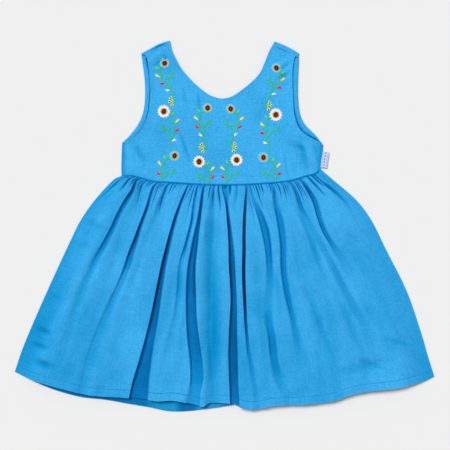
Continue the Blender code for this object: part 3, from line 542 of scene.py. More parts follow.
class Skirt:
    """One gathered skirt panel: its plan and the middle height of its cloth."""

    def __init__(self, hem, folds, last, is_front, seed):
        self.waist = Outline(WAIST)
        self.left = Outline(SKIRT_LEFT)
        self.right = Outline(SKIRT_RIGHT)
        self.hem = Outline(hem)
        self.is_front = is_front
        self.noise = SoftNoise(seed)
        self.folds = []
        self.cells = 0
        for count, left_flank, right_flank, stations in folds:
            self.cells += count
            rows = [self.from_pixels(*row) for row in stations] if is_front else stations
            down, middle, half, depth = np.array(rows, float).T
            self.folds.append({"number": self.cells, "down": down, "middle": middle,
                               "half": half, "depth": depth, "left": left_flank,
                               "right": right_flank})
        self.cells += last

    def from_pixels(self, py, first, last, depth):
        """A fold's station by its shares down and across, its half floor and depth."""
        x, y = from_photo(0.5 * (first + last), py)
        s = t = 0.5
        for _ in range(12):
            here = self.plan(s, t)
            ds = (self.plan(s + 1e-4, t) - here) * 1e4
            dt = (self.plan(s, t + 1e-4) - here) * 1e4
            step = np.linalg.solve(np.column_stack((ds, dt)), np.array((x, y)) - here)
            s = min(max(s + float(step[0]), 0.0), 1.0)
            t = min(max(t + float(step[1]), -0.02), 1.02)
        return t, s, 0.5 * (last - first) * PIXEL, depth

    def plan(self, s, t):
        """Place on the surface at share s of the width and t of the length."""
        s = np.asarray(s, float)[..., None]
        t = np.asarray(t, float)[..., None]
        waist = self.waist.at(s[..., 0])
        hem = self.hem.at(s[..., 0])
        left = self.left.at(t[..., 0])
        right = self.right.at(t[..., 0])
        corners = (1 - s) * (1 - t) * self.waist.at(0.0) + s * (1 - t) * self.waist.at(1.0)
        corners = corners + (1 - s) * t * self.hem.at(0.0) + s * t * self.hem.at(1.0)
        return (1 - t) * waist + t * hem + (1 - s) * left + s * right - corners

    def row_width(self, t):
        """Width of the panel at a height, in millimetres."""
        ends = self.right.at(t) - self.left.at(t)
        return np.hypot(ends[..., 0], ends[..., 1])

    @staticmethod
    def softer(depth, t):
        """How much wider the flanks of a shallow fold are, away from the waist."""
        shallow = smooth(1.0 - depth / SHALLOW_UNDER)
        return 1.0 + SHALLOW_WIDER * shallow * smooth(t / SHALLOW_FROM)

    def columns(self, t):
        """Numbers of the columns of cloth that bend, and their shares of the width."""
        width = float(self.row_width(t))
        rows = []
        for fold in self.folds:
            middle, half, depth = (float(through(fold["down"], fold[name], t))
                                   for name in ("middle", "half", "depth"))
            wider = float(self.softer(max(depth, 0.0), t))
            flanks = [min(fold[name] * wider, FLANK_SPAN) for name in ("left", "right")]
            rows.append([middle * width, max(half, HALF_FLOOR)] + flanks)
        for before, after in zip(rows, rows[1:]):
            gap = max(0.9 * (after[0] - after[1] - before[0] - before[1]), 0.6)
            slim = min(before[3], after[2], 0.5 * gap)
            wide = min(max(before[3], after[2]), gap - slim)
            before[3], after[2] = (wide, slim) if before[3] > after[2] else (slim, wide)
        numbers = [0.0]
        shares = [0.0]
        for fold, (middle, half, left, right) in zip(self.folds, rows):
            numbers += [fold["number"] + k / BITS for k in (-FLANK_BITS, -1, 0, 1, FLANK_BITS)]
            shares += [(middle + k) / width for k in (-half - left, -half, 0.0, half, half + right)]
        numbers.append(float(self.cells))
        shares.append(1.0)
        steps = np.arange(len(shares)) * LEAST_STEP
        shares = np.maximum.accumulate(np.maximum(shares, 0.0) - steps) + steps
        return np.array(numbers), np.minimum(shares, 1.0 - steps[-1] + steps)

    def fold_relief(self, s, t):
        """Depth of the deepest long fold or height of the highest ridge, and its painted-shade core.
        """
        deepest = np.zeros(np.broadcast(s, t).shape)
        core = np.zeros(deepest.shape)
        width = self.row_width(t)
        for fold in self.folds:
            middle = through(fold["down"], fold["middle"], t)
            half = np.maximum(through(fold["down"], fold["half"], t), HALF_FLOOR)
            depth = np.maximum(through(fold["down"], fold["depth"], t), 0.0)
            away = (s - middle) * width
            reach = np.where(away < 0.0, fold["left"], fold["right"])
            reach = reach * self.softer(depth, t)
            beyond = np.maximum(np.abs(away) - half, 0.0) / reach
            deepest = np.maximum(deepest, depth * (1.0 - smooth(beyond)))
            foot = np.where(fold["left"] < fold["right"], -1.0, 1.0) * np.maximum(half - 0.6, 0.0)
            near = np.exp(-((away - foot) / CORE_WIDTH) ** 2)
            core = np.maximum(core, near * np.clip((depth - 3.0) / 3.0, 0.0, 1.0))
        return deepest, core * (1.0 - 0.88 * smooth((t - 0.45) / 0.3))

    def gather_valleys(self, index, t):
        """How deep the small gathers cut between the columns of cloth, from 0 to 1."""
        number = np.round(index)
        vary = 0.5 + 0.5 * np.sin(number * 2.4 + 0.7 * np.sin(number * 1.3))
        fade = 1.0 - smooth(t / (GATHER_SHORT + (GATHER_LONG - GATHER_SHORT) * vary ** 1.5))
        valley = (1.0 - np.abs(np.sin(math.pi * index))) ** 1.7
        main = (0.75 + 0.25 * np.cos(number * 1.7)) * fade * valley
        number = np.floor(index)
        vary = 0.5 + 0.5 * np.sin(number * 4.1 + 1.0)
        fade = 1.0 - smooth(t / (TUCK_SHORT + (TUCK_LONG - TUCK_SHORT) * vary ** 2))
        valley = (1.0 - np.abs(np.cos(math.pi * index))) ** 2.0
        return np.maximum(main, (0.40 + 0.5 * vary) * fade * valley)

    def soft_relief(self, s, t):
        """Soft troughs between the long folds, and unevenness all over."""
        total = np.zeros(np.shape(s))
        width = self.row_width(t)
        length = self.left.length
        for row in SKIRT_SOFT:
            soft = dict(zip(SOFT_NAMES, row))
            along = np.clip((t - soft["t0"]) / (soft["t1"] - soft["t0"]), 0.0, 1.0)
            if abs(soft["t1"] - soft["t0"]) < LEVEL:
                along = np.clip((s - soft["s0"]) / (soft["s1"] - soft["s0"]), 0.0, 1.0)
            path_s = soft["s0"] + along * (soft["s1"] - soft["s0"])
            path_t = soft["t0"] + along * (soft["t1"] - soft["t0"])
            away = np.hypot((s - path_s) * width, (t - path_t) * length)
            ends = 0.35 + 0.65 * np.sin(math.pi * along)
            total = total + soft["depth"] * ends * (1.0 - smooth(away / soft["width"]))
        for across, down, height in SKIRT_UNEVEN:
            total = total + height * self.noise.at(s * across + across, t * down)
        return total

    def middle(self, s, t, index):
        """Height of the middle of the cloth, and its painted shade, deepest in its folds."""
        edge = np.minimum(s, 1.0 - s) * self.row_width(t)
        side = smooth(edge / (SIDE_FALL[0] + (SIDE_FALL[1] - SIDE_FALL[0]) * smooth(t / 0.3)))
        free = side * smooth(t / WAIST_FALL)
        valleys = self.gather_valleys(index, t)
        if not self.is_front:
            gathers = GATHER_BACK * (1.0 - valleys) * (1.0 - smooth(t / GATHER_LONG))
            relief = np.maximum(self.fold_relief(s, t)[0], gathers)
            # Painted shadow of the front hem on the back hem's inside
            shade = np.interp(s, *BACK_SHADE) * smooth((t - 0.9) / 0.05)
            return BACK_EDGE + np.minimum(relief, BACK_RELIEF) * free, shade
        crest = through(CREST_HEIGHTS, CREST_RISE, t)
        relief, core = self.fold_relief(s, t)
        relief = np.minimum(relief, 1.1 * crest)
        soft = self.soft_relief(s, t) * smooth(t / 0.05)
        body = crest - relief - soft - valleys * GATHER_CUT * crest
        room = np.maximum(body, 0.25 * np.exp(np.minimum(body, 0.0)))
        past = self.to_hem(s, t)
        pucker = self.noise.at(s * HEM_PUCKERS, 2.0)
        groove = np.exp(-((past - GROOVE_PLACE) / GROOVE_WIDTH) ** 2)
        lift = smooth((past + 1.0) / 2.0) * (HEM_RISE + HEM_PUCKER * pucker)
        lift = lift - GROOVE_DEPTH * groove
        # Painted shade in folds, cores, troughs, gathers, seam and hem groove, at the sides and the
        # left
        share = relief / np.maximum(crest, 0.5)
        painted_shade = FOLD_SHADE * np.clip(share, 0.0, 1.0) ** 1.5 * (0.55 + 0.45 * smooth(t / 0.08))
        shown = np.maximum(side, smooth(edge / 3.0) * (1.0 - smooth(t / 0.3)))
        painted_shade = (painted_shade + CORE_SHADE * core * smooth((share - 0.2) / 0.3)) * shown
        painted_shade = painted_shade + SOFT_SHADE * soft * (0.4 + 0.6 * side)
        painted_shade = painted_shade + ALL_SHADE + SIDE_SHADE * (1.0 - side) + LEFT_SHADE * (1.0 - s)
        painted_shade = painted_shade + LOW_SHADE * smooth((t - 0.35) / 0.4)
        painted_shade = painted_shade + HIGH_SHADE * (1.0 - smooth(t / 0.25))
        seam = SEAM_SHADE * (1.0 - smooth(t * self.left.length / SEAM_DEPTH))
        gathers = GATHER_SHADE * smooth(1.5 * valleys - 0.2) * smooth(edge / 9.0)
        painted_shade = np.maximum.reduce((painted_shade, seam, GROOVE_SHADE * groove, gathers))
        return FRONT_EDGE + LAYER_ROOM * free + (room + lift) * side, painted_shade

    def to_hem(self, s, t):
        """How far a place is past the upper line of the hem, in millimetres."""
        length = self.left.length * (1.0 - s) + self.right.length * s
        return (t - 1.0) * length + HEM_DEPTH

    def grid(self):
        """Shares of the width and the length over the whole net."""
        t_rows = np.concatenate((
            np.linspace(0.0, WAIST_ROWS_TO, ROWS // 4, endpoint=False),
            np.linspace(WAIST_ROWS_TO, HEM_ROWS_FROM, ROWS - ROWS // 4 - HEM_ROWS,
                        endpoint=False),
            np.linspace(HEM_ROWS_FROM, 1.0, HEM_ROWS),
        ))
        bits = np.linspace(0.0, self.cells, self.cells * BITS + 1)
        s = np.array([np.interp(bits, *self.columns(t)) for t in t_rows])
        t = np.repeat(t_rows[:, None], s.shape[1], axis=1)
        index = np.repeat(bits[None, :], len(t_rows), axis=0)
        return s, t, index

    def surface(self, s, t, index):
        """Middle points, upright directions and painted shade of the cloth."""
        height, painted_shade = self.middle(s, t, index)
        points = np.concatenate((self.plan(s, t), height[..., None]), axis=-1)
        return points, grid_normals(points), painted_shade


def grid_normals(points):
    """Directions square to a net of points, upwards."""
    across = np.gradient(points, axis=1)
    down = np.gradient(points, axis=0)
    normals = np.cross(down, across)
    normals /= np.linalg.norm(normals, axis=-1, keepdims=True)
    return np.where(normals[..., 2:] < 0.0, -normals, normals)


def make_piece(name, points, faces, material, uv, depth):
    """Make one finished piece from millimetre points; it rides on the dress."""
    points = np.asarray(points, float).reshape(-1, 3) - np.array((0.0, MIDDLE_Y, 0.0))
    mesh = bpy.data.meshes.new(name)
    mesh.from_pydata((points * MM).tolist(), [], faces)
    mesh.update()
    mesh.shade_smooth()
    mesh.set_sharp_from_angle(angle=math.radians(SHARP_ANGLE))
    mesh.materials.append(material)
    corners = np.zeros(len(mesh.loops), int)
    mesh.loops.foreach_get("vertex_index", corners)
    layer = mesh.uv_layers.new(name="cut")
    layer.data.foreach_set("uv", (np.asarray(uv)[corners] * MM).ravel())
    # The depth values are each point's painted shade, read by the cloth's finish
    layer = mesh.attributes.new("painted_shade", "FLOAT", "POINT")
    layer.data.foreach_set("value", np.asarray(depth, float).ravel())
    piece = bpy.data.objects.new(name, mesh)
    bpy.context.scene.collection.objects.link(piece)
    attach(piece, "root")
    return piece


def shell_from_grid(name, points, normals, thick, material, uv, depth):
    """Closed thin cloth from a net of middle points."""
    rows, columns = points.shape[:2]
    half = 0.5 * thick[..., None] * normals
    top = (points + half).reshape(-1, 3)
    bottom = (points - half).reshape(-1, 3)
    count = rows * columns
    ids = np.arange(count).reshape(rows, columns)
    a, b, c, d = ids[:-1, :-1], ids[1:, :-1], ids[1:, 1:], ids[:-1, 1:]
    quads = np.stack((a, b, c, d), axis=-1).reshape(-1, 4)
    faces = quads.tolist() + (quads[:, ::-1] + count).tolist()
    loop = list(ids[0]) + list(ids[1:, -1]) + list(ids[-1, -2::-1]) + list(ids[-2:0:-1, 0])
    loop = [int(i) for i in loop]
    for i, j in zip(loop, loop[1:] + loop[:1]):
        faces.append((i, j, j + count, i + count))
    uv = np.concatenate((uv.reshape(-1, 2), uv.reshape(-1, 2)))
    # Painted shade on the top side, a share of it on the underside
    depth = np.concatenate((depth.ravel(), UNDERSIDE * depth.ravel()))
    return make_piece(name, np.concatenate((top, bottom)), faces, material, uv, depth)


def inside(outline, x, y):
    """Whether places lie inside a closed line of points."""
    hit = np.zeros(np.shape(x), bool)
    ax, ay = outline[-1]
    for bx, by in outline:
        cross = (ay > y) != (by > y)
        at = (bx - ax) * (y - ay) / (by - ay + 1e-12) + ax
        hit ^= cross & (x < at)
        ax, ay = bx, by
    return hit


def net(outline, spacing, lines):
    """Even net of triangles filling a closed line of points, with other lines in it."""
    low = outline.min(axis=0)
    high = outline.max(axis=0)
    rise = 0.866 * spacing
    rows = int((high[1] - low[1]) / rise) + 1
    columns = int((high[0] - low[0]) / spacing) + 1
    r, c = np.meshgrid(np.arange(rows + 1), np.arange(columns + 1), indexing="ij")
    x = low[0] + (c + 0.5 * (r % 2)) * spacing
    y = low[1] + r * rise
    grid = np.column_stack((x.ravel(), y.ravel()))
    keep = inside(outline, grid[:, 0], grid[:, 1])
    edges = [np.concatenate((outline, outline[:1]))] + lines
    for x0, y0, x1, y1 in np.concatenate([np.hstack((a[:-1], a[1:])) for a in edges]):
        gap, _ = to_line(grid[:, 0], grid[:, 1], x0, y0, x1, y1)
        keep &= gap > spacing * 0.45
    points = [Vector(p) for p in np.concatenate((outline, *lines, grid[keep]))]
    found = delaunay_2d_cdt(points, [], [list(range(len(outline)))], 1, 1e-6)
    return np.array([tuple(p) for p in found[0]]), [tuple(f) for f in found[2]]


def counter_clockwise(outline):
    """The closed line turned so that it runs counter-clockwise."""
    x, y = outline[:, 0], outline[:, 1]
    area = np.sum(x * np.roll(y, -1) - np.roll(x, -1) * y)
    return outline if area > 0 else outline[::-1]


# Bodice: edges, heights and pieces

def shoulder_line(table, pull):
    """Shoulder points pulled in by the bend of the fold, and the way outwards."""
    line = Outline(table).at(np.linspace(0.0, 1.0, 16))
    run = line[-1] - line[0]
    out = np.array((-run[1], run[0]))
    out = out / np.linalg.norm(out)
    if out[1] < 0.0:
        out = -out
    return line - out * pull, out


def bodice_waist(drop):
    """Lower edge of the bodice, moved down over the top of the skirt."""
    line = Outline(WAIST).even(WAIST_STEP)
    run = np.gradient(line, axis=0)
    run = run / np.linalg.norm(run, axis=1)[:, None]
    return line + np.column_stack((run[:, 1], -run[:, 0])) * drop


def bodice_outline(tables, pulls, shoulders=None):
    """Closed edge of a bodice panel, from the left shoulder round to it again."""
    neck, arm_left, arm_right = (Outline(table) for table in tables)
    pull_left, pull_right = pulls
    neck_line = neck.even(EDGE_STEP, pull_left / neck.length, 1.0 - pull_right / neck.length)
    right_arm = arm_right.even(EDGE_STEP, pull_right / arm_right.length)
    left_arm = arm_left.even(EDGE_STEP, pull_left / arm_left.length)
    sides = [Outline(table).even(EDGE_STEP)[1:-1] for table in (SIDE_LEFT, SIDE_RIGHT)]
    if shoulders:
        parts = [neck_line[1:-1], shoulders[1], right_arm[1:]]
        tail = [left_arm[::-1][:-1], shoulders[0][::-1]]
    else:
        parts = [neck_line, right_arm]
        tail = [left_arm[::-1]]
    parts += [sides[1], bodice_waist(WAIST_DROP)[::-1], sides[0][::-1]] + tail
    return counter_clockwise(np.concatenate(parts))


def binding_course(table, count=90, start=STRIP_FROM, end=STRIP_TO):
    """Line of a back armhole and the way inwards from it."""
    line = Outline(table).at(np.linspace(start, end, count))
    run = np.gradient(line, axis=0)
    run = run / np.linalg.norm(run, axis=1)[:, None]
    inward = np.column_stack((-run[:, 1], run[:, 0]))
    if inward[count // 2][0] * line[count // 2][0] > 0.0:
        inward = -inward
    return line, inward


BODICE_NOISE = SoftNoise(21)
FRONT_EDGES = (Outline(NECK_FRONT), Outline(ARM_FRONT_LEFT), Outline(ARM_FRONT_RIGHT))
BODICE_SIDES = (Outline(SIDE_LEFT), Outline(SIDE_RIGHT))
WAIST_LINE = Outline(WAIST)
BINDING_LINES = []
for arm_table in (ARM_BACK_LEFT, ARM_BACK_RIGHT):
    course, course_in = binding_course(arm_table)
    BINDING_LINES.append(course + course_in * STRIP_MIDDLE)


def bodice_front_middle(x, y):
    """Height of the middle of the front bodice's cloth."""
    height = np.full(np.shape(x), BODICE_MID)
    for row in BODICE_WRINKLES:
        soft = dict(zip(WRINKLE_NAMES, row))
        gap, share = to_line(x, y, soft["x0"], soft["y0"], soft["x1"], soft["y1"])
        ends = 0.4 + 0.6 * np.sin(math.pi * np.clip(share, 0.02, 0.98))
        height = height + soft["height"] * ends * (1.0 - smooth(gap / soft["width"]))
    for across, down, shift, rise in BODICE_UNEVEN:
        height = height + rise * BODICE_NOISE.at(x / across + shift, y / down)
    over = np.zeros(np.shape(x))
    for line in BINDING_LINES:
        near = np.full(np.shape(x), 1e9)
        for px, py in line[::3]:
            near = np.minimum(near, np.hypot(x - px, y - py))
        over = np.maximum(over, BODICE_LIFT * (1.0 - smooth((near - 4.5) / 10.0)))
    sides = np.minimum(BODICE_SIDES[0].distance(x, y), BODICE_SIDES[1].distance(x, y))
    side = smooth(sides / BODICE_FALL)
    height = FRONT_EDGE + (height - FRONT_EDGE) * side + over
    for edge in FRONT_EDGES:
        height = height + EDGE_ROLL * (1.0 - smooth(edge.distance(x, y) / EDGE_REACH))
    seam = WAIST_LINE.distance(x, y)
    for place, width, rise in WAIST_RIDGES:
        height = height + rise * (1.0 - smooth(np.abs(seam - place) / width)) * side
    return height


def bodice_painted_shade(x, y, height):
    """Painted shade of the front bodice in its wrinkles and at the waist seam, from 0 to 1."""
    seam = SEAM_SHADE * (1.0 - smooth((WAIST_LINE.distance(x, y) - 0.4) / 0.8))
    sunk = np.clip((BODICE_MID + 0.1 - height) / 1.2, 0.0, 1.0)
    return np.maximum(WRINKLE_SHADE * sunk, seam)


def sheet_faces(faces, count):
    """Faces of both sides of a sheet whose underside's points come count later."""
    return faces + [tuple(i + count for i in reversed(face)) for face in faces]


def edge_faces(length, count, left_out=()):
    """Faces round a sheet's edge, without the stretches left out."""
    ring = list(range(length))
    pairs = zip(ring, ring[1:] + ring[:1])
    return [(b, a, a + count, b + count) for a, b in pairs if (a, b) not in left_out]


def make_bodice_front(sizes, material):
    """Front bodice: one thin panel, its straps ending at the shoulder seams."""
    half = 0.5 * sizes.cloth / MM
    tables = (NECK_FRONT, ARM_FRONT_LEFT, ARM_FRONT_RIGHT)
    edge = bodice_outline(tables, [half + short for short in FRONT_SHORT])
    lines = [bodice_waist(drop)[2:-2] for drop in WAIST_LINES]
    places, faces = net(edge, NET, lines)
    x, y = places[:, 0], places[:, 1]
    middle = bodice_front_middle(x, y)
    count = len(places)
    near = np.minimum.reduce([line.distance(x, y) for line in FRONT_EDGES])
    extra = EDGE_THICKER * (1.0 - smooth(near / EDGE_REACH))
    top = np.column_stack((places, middle + half + extra))
    bottom = np.column_stack((places, middle - half))
    solid = sheet_faces(faces, count) + edge_faces(len(edge), count)
    depth = bodice_painted_shade(x, y, middle)
    piece = make_piece(
        "bodice_front_cloth", np.concatenate((top, bottom)), solid, material,
        np.concatenate((places, places)), np.concatenate((depth, depth)))
    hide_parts("bodice_front")


def turn_over(points, uv, solid, edge, ids, count, out, over, radius, half):
    """Add the cloth that turns over one shoulder and then lies on the front strap."""
    inner = [list(ids)]
    outer = [[i + count for i in ids]]
    last = len(ids) - 1
    steps = [(math.pi * k / TURN_STEPS, 0.0) for k in range(1, TURN_STEPS + 1)]
    steps += [(math.pi, over * k / BACK_STEPS) for k in range(1, BACK_STEPS + 1)]
    for angle, back in steps:
        for rows, reach in ((inner, radius - half), (outer, radius + half)):
            row = []
            for i in ids:
                place = edge[i] + out * (reach * math.sin(angle) - back)
                row.append(len(points))
                points.append((*place, BACK_EDGE + radius - reach * math.cos(angle)))
                uv.append(tuple(edge[i] + out * (reach * angle + back)))
            rows.append(row)
    for k in range(len(steps)):
        for j in range(last):
            solid.append((outer[k][j], outer[k][j + 1], outer[k + 1][j + 1], outer[k + 1][j]))
            solid.append((inner[k][j], inner[k + 1][j], inner[k + 1][j + 1], inner[k][j + 1]))
        solid.append((outer[k][0], outer[k + 1][0], inner[k + 1][0], inner[k][0]))
        solid.append((outer[k][last], inner[k][last], inner[k + 1][last], outer[k + 1][last]))
    for j in range(last):
        solid.append((outer[-1][j], outer[-1][j + 1], inner[-1][j + 1], inner[-1][j]))


def make_bodice_back(sizes, material):
    """Back bodice: it lies on the surface and turns over both shoulders."""
    half = 0.5 * sizes.cloth / MM
    radius = 0.5 * (BODICE_MID + TURN_LOOSE - BACK_EDGE)
    pull = radius + half
    left, left_out = shoulder_line(SHOULDER_LEFT, pull)
    right, right_out = shoulder_line(SHOULDER_RIGHT, pull)
    tables = (NECK_BACK, ARM_BACK_LEFT, ARM_BACK_RIGHT)
    edge = bodice_outline(tables, (pull, pull), (left, right))
    hidden = FRONT_EDGES[2]
    places, faces = net(edge, BACK_NET, [hidden.even(1.6, 0.45, 0.92)])
    count = len(places)
    wave = 0.25 + 0.25 * BODICE_NOISE.at(places[:, 0] / 22.0 + 3.0, places[:, 1] / 25.0)
    clear = np.full(count, 1e9)
    for line in (Outline(SHOULDER_LEFT), Outline(SHOULDER_RIGHT)) + BODICE_SIDES:
        clear = np.minimum(clear, line.distance(places[:, 0], places[:, 1]))
    middle = BACK_EDGE + wave * smooth(clear / 12.0)
    under = hidden.distance(places[:, 0], places[:, 1])
    # Painted shadow of the front bodice's right armhole edge on the back bodice
    depth = UNDER_SHADE * smooth((150.0 - places[:, 1]) / 22.0)
    depth = depth * (1.0 - smooth((under - 0.3) / 3.0))
    points = np.concatenate((
        np.column_stack((places, middle + half)), np.column_stack((places, middle - half))))
    points = [tuple(p) for p in points]
    uv = [tuple(p) for p in places] * 2
    solid = sheet_faces(faces, count)
    turned = set()
    for line, out, over in zip((left, right), (left_out, right_out), BACK_OVER):
        ids = [int(np.argmin(np.linalg.norm(edge - p, axis=1))) for p in line]
        if (ids[1] - ids[0]) % len(edge) != 1:
            ids = ids[::-1]
        turned.update(zip(ids, ids[1:]))
        turn_over(points, uv, solid, edge, ids, count, out, over, radius, half)
    solid += edge_faces(len(edge), count, turned)
    shade = np.zeros(len(points))
    shade[:count] = depth
    piece = make_piece("bodice_back_cloth", points, solid, material, uv, shade)
    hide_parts("bodice_back")


def make_bindings(sizes, material):
    """Turned strips stitched round the inside of both back armholes."""
    for side, table in (("left", ARM_BACK_LEFT), ("right", ARM_BACK_RIGHT)):
        line, inward = binding_course(table, STRIP_ROWS)
        across = np.linspace(STRIP_START, sizes.binding / MM, STRIP_COLUMNS)
        share = (across - across[0]) / (across[-1] - across[0])
        plan = line[:, None, :] + inward[:, None, :] * across[None, :, None]
        along = np.arange(STRIP_ROWS)[:, None]
        pucker = 0.10 * BODICE_NOISE.at(along / 3.1, share[None, :] * 2.0)
        height = STRIP_BASE + STRIP_RISE * np.sin(math.pi * share)[None, :] ** 0.5 + pucker
        for place in STRIP_GROOVES:
            height = height - 0.12 * np.exp(-((share[None, :] - place) / 0.06) ** 2)
        points = np.concatenate((plan, height[..., None]), axis=-1)
        normals = grid_normals(points)
        if np.cross(points[1, 0] - points[0, 0], points[0, 1] - points[0, 0])[2] < 0.0:
            points = points[:, ::-1]
            normals = normals[:, ::-1]
        thick = np.full(height.shape, STRIP_CLOTH)
        uv = np.stack((np.tile(across, (STRIP_ROWS, 1)),
                       np.tile(along, (1, STRIP_COLUMNS))), axis=-1)
        # Painted shadow of the front bodice's armhole edge along each strip
        under = FRONT_EDGES[1 if side == "left" else 2].distance(points[..., 0], points[..., 1])
        share = along / along[-1]
        dark = wide = smooth((share - 0.50) / 0.20)
        if side == "left":
            dark = 1.0 - 0.8 * smooth((share - 0.60) / 0.30)
            wide = 1.0 - smooth(share / 0.35)
        painted_shade = STRIP_SHADE * dark * (1.0 - smooth((under - 0.3) / (1.5 + 2.5 * wide)))
        name = "armhole_binding_" + side
        piece = shell_from_grid(name + "_cloth", points, normals, thick, material, uv, painted_shade)
        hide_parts(name)


# Skirt panels

FRONT_SKIRT = Skirt(HEM_FRONT, FRONT_FOLDS, FRONT_LAST, True, 5)
BACK_SKIRT = Skirt(HEM_BACK, BACK_RIDGES, BACK_LAST, False, 8)


def make_skirt(sizes, material, skirt, name, node):
    """One gathered panel as thin closed cloth."""
    s, t, index = skirt.grid()
    points, normals, depth = skirt.surface(s, t, index)
    hem = smooth((skirt.to_hem(s, t) + 0.5) / 1.0)
    thick = sizes.cloth / MM * (1.0 + HEM_THICKER * hem)
    uv = np.stack((s * sizes.skirt_cut / MM, t * skirt.left.length), axis=-1)
    piece = shell_from_grid(name, points, normals, thick, material, uv, depth)
    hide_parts(node)


def make_label(sizes, material):
    """Bare folded tape standing out of the right side seam."""
    side = Outline(SIDE_RIGHT)
    end = LABEL_PLACE + sizes.label_length / MM / side.length
    roots = side.at(np.linspace(LABEL_PLACE, end, LABEL_ROWS))
    down = (roots[-1] - roots[0]) / np.linalg.norm(roots[-1] - roots[0])
    out = np.array((-down[1], down[0]))
    across = np.linspace(LABEL_ROOT, sizes.label_width / MM, LABEL_COLUMNS)
    plan = roots[:, None, :] + out * across[None, :, None]
    share = np.clip(across / across[-1], 0.0, 1.0)[None, :]
    along = np.linspace(0.0, 1.0, LABEL_ROWS)[:, None]
    height = 1.0 + 0.9 * share ** 1.5 + 0.35 * np.sin(math.pi * along) * share
    height = height + 0.15 * np.sin(along * 9.0) * share
    points = np.concatenate((plan, height[..., None]), axis=-1)
    uv = np.stack((np.tile(across, (LABEL_ROWS, 1)),
                   np.tile(along * sizes.label_length / MM, (1, LABEL_COLUMNS))), axis=-1)
    thick = np.full(height.shape, LABEL_CLOTH)
    piece = shell_from_grid("side_label_tape", points, grid_normals(points), thick,
                            material, uv, np.zeros(height.shape))
    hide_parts("side_label")


# Threads: how Geometry Nodes lay them, and the embroidery's layout

STITCH_SIDES = 8
STITCH_RINGS = 5
PETAL_THREADS = 42
RING_THREADS = 34

# Flowers: pixel of the photograph, radius and petals
DAISIES = (
    (164.7, 63.4, 7.1, "pale_blue"), (164.0, 111.6, 8.9, "white"),
    (174.7, 156.0, 7.7, "pale_blue"), (207.7, 108.2, 7.1, "pale_blue"),
    (199.2, 161.8, 8.3, "white"), (230.7, 109.1, 7.1, "pale_blue"),
    (236.6, 160.1, 8.3, "white"), (276.3, 68.3, 7.1, "pale_blue"),
    (275.8, 115.0, 8.9, "white"), (263.4, 157.6, 7.7, "pale_blue"),
)

# Stems, by pixels, from the flower down
STEMS = (
    ((159.6, 67.0), (161.3, 78.0), (165.4, 83.0), (170.4, 89.7), (175.4, 96.3), (175.2, 103.0)),
    ((170.2, 113.4), (174.5, 122.9), (174.9, 129.5), (172.0, 139.5), (170.0, 146.0), (170.6, 152.0)),
    ((168.9, 156.4), (162.1, 166.0), (161.6, 174.3), (162.1, 181.0)),
    ((201.9, 111.7), (199.1, 120.4), (199.7, 127.8), (202.7, 136.1), (206.9, 144.4), (205.2, 149.4)),
    ((205.0, 164.0), (210.2, 171.0), (210.3, 177.6), (209.0, 183.4)),
    ((236.0, 112.6), (238.6, 120.4), (237.4, 127.8), (234.2, 136.1), (229.6, 143.9), (231.4, 149.4)),
    ((230.4, 162.6), (225.6, 170.2), (225.6, 177.0), (226.3, 183.4)),
    ((281.0, 72.0), (279.6, 82.0), (275.4, 89.0), (270.6, 95.4), (266.2, 101.6), (266.0, 107.0)),
    ((269.6, 117.6), (265.6, 126.0), (264.9, 132.8), (267.6, 142.6), (269.6, 149.0), (268.6, 153.6)),
    ((269.4, 159.4), (275.7, 167.6), (276.5, 174.3), (275.7, 181.2)),
)

# Buds: pixel of the middle and colour
BUDS = (
    (157.1, 68.4, "leaf"), (158.6, 76.6, "yellow"), (162.4, 83.9, "red"), (168.2, 90.6, "white"),
    (173.9, 112.9, "leaf"), (177.0, 121.4, "yellow"), (176.8, 130.6, "red"), (173.9, 140.4, "white"),
    (164.2, 156.4, "leaf"), (159.9, 163.8, "yellow"), (158.6, 173.8, "red"),
    (198.9, 110.8, "leaf"), (196.6, 118.9, "yellow"), (197.4, 127.2, "red"), (201.1, 135.6, "white"),
    (208.5, 162.5, "leaf"), (212.2, 169.3, "yellow"), (212.2, 177.7, "red"),
    (238.7, 111.6, "leaf"), (240.9, 119.5, "yellow"), (239.1, 127.5, "red"), (234.6, 135.8, "white"),
    (226.8, 161.4, "leaf"), (222.5, 168.4, "yellow"), (222.3, 176.9, "red"),
    (283.1, 73.3, "leaf"), (281.5, 80.6, "yellow"), (278.2, 88.0, "red"), (272.4, 94.5, "white"),
    (265.4, 116.2, "leaf"), (261.9, 124.6, "yellow"), (262.1, 133.3, "red"), (264.6, 143.0, "white"),
    (273.7, 158.6, "leaf"), (278.3, 165.5, "yellow"), (278.9, 174.1, "red"),
)

# Kinds of bud: length, width and half angle, then its threads' shares of the length
BUD_KINDS = {
    "leaf": (7.6, 1.3, 0.13, (0.9, 1.0, 0.9)),
    "yellow": (9.6, 0.95, 0.15, (1.0, 0.88, 0.78, 0.84, 0.94)),
    "red": (8.2, 1.1, 0.20, (1.0, 0.90, 0.78, 0.84, 0.92)),
    "white": (8.2, 0.9, 0.18, (1.0, 0.78, 0.62, 0.7, 0.88)),
}

# Threads of one bell: turn and share of its length
BELL_FAN = ((-0.26, 1.0), (-0.13, 0.96), (0.0, 0.92), (0.13, 0.96), (0.26, 1.02))

# Sprays of bells: pixel of the middle and the side that they hang to
BELLS = ((171.7, 101.3, -1), (202.4, 147.7, -1), (234.0, 146.9, 1), (268.9, 105.5, 1))

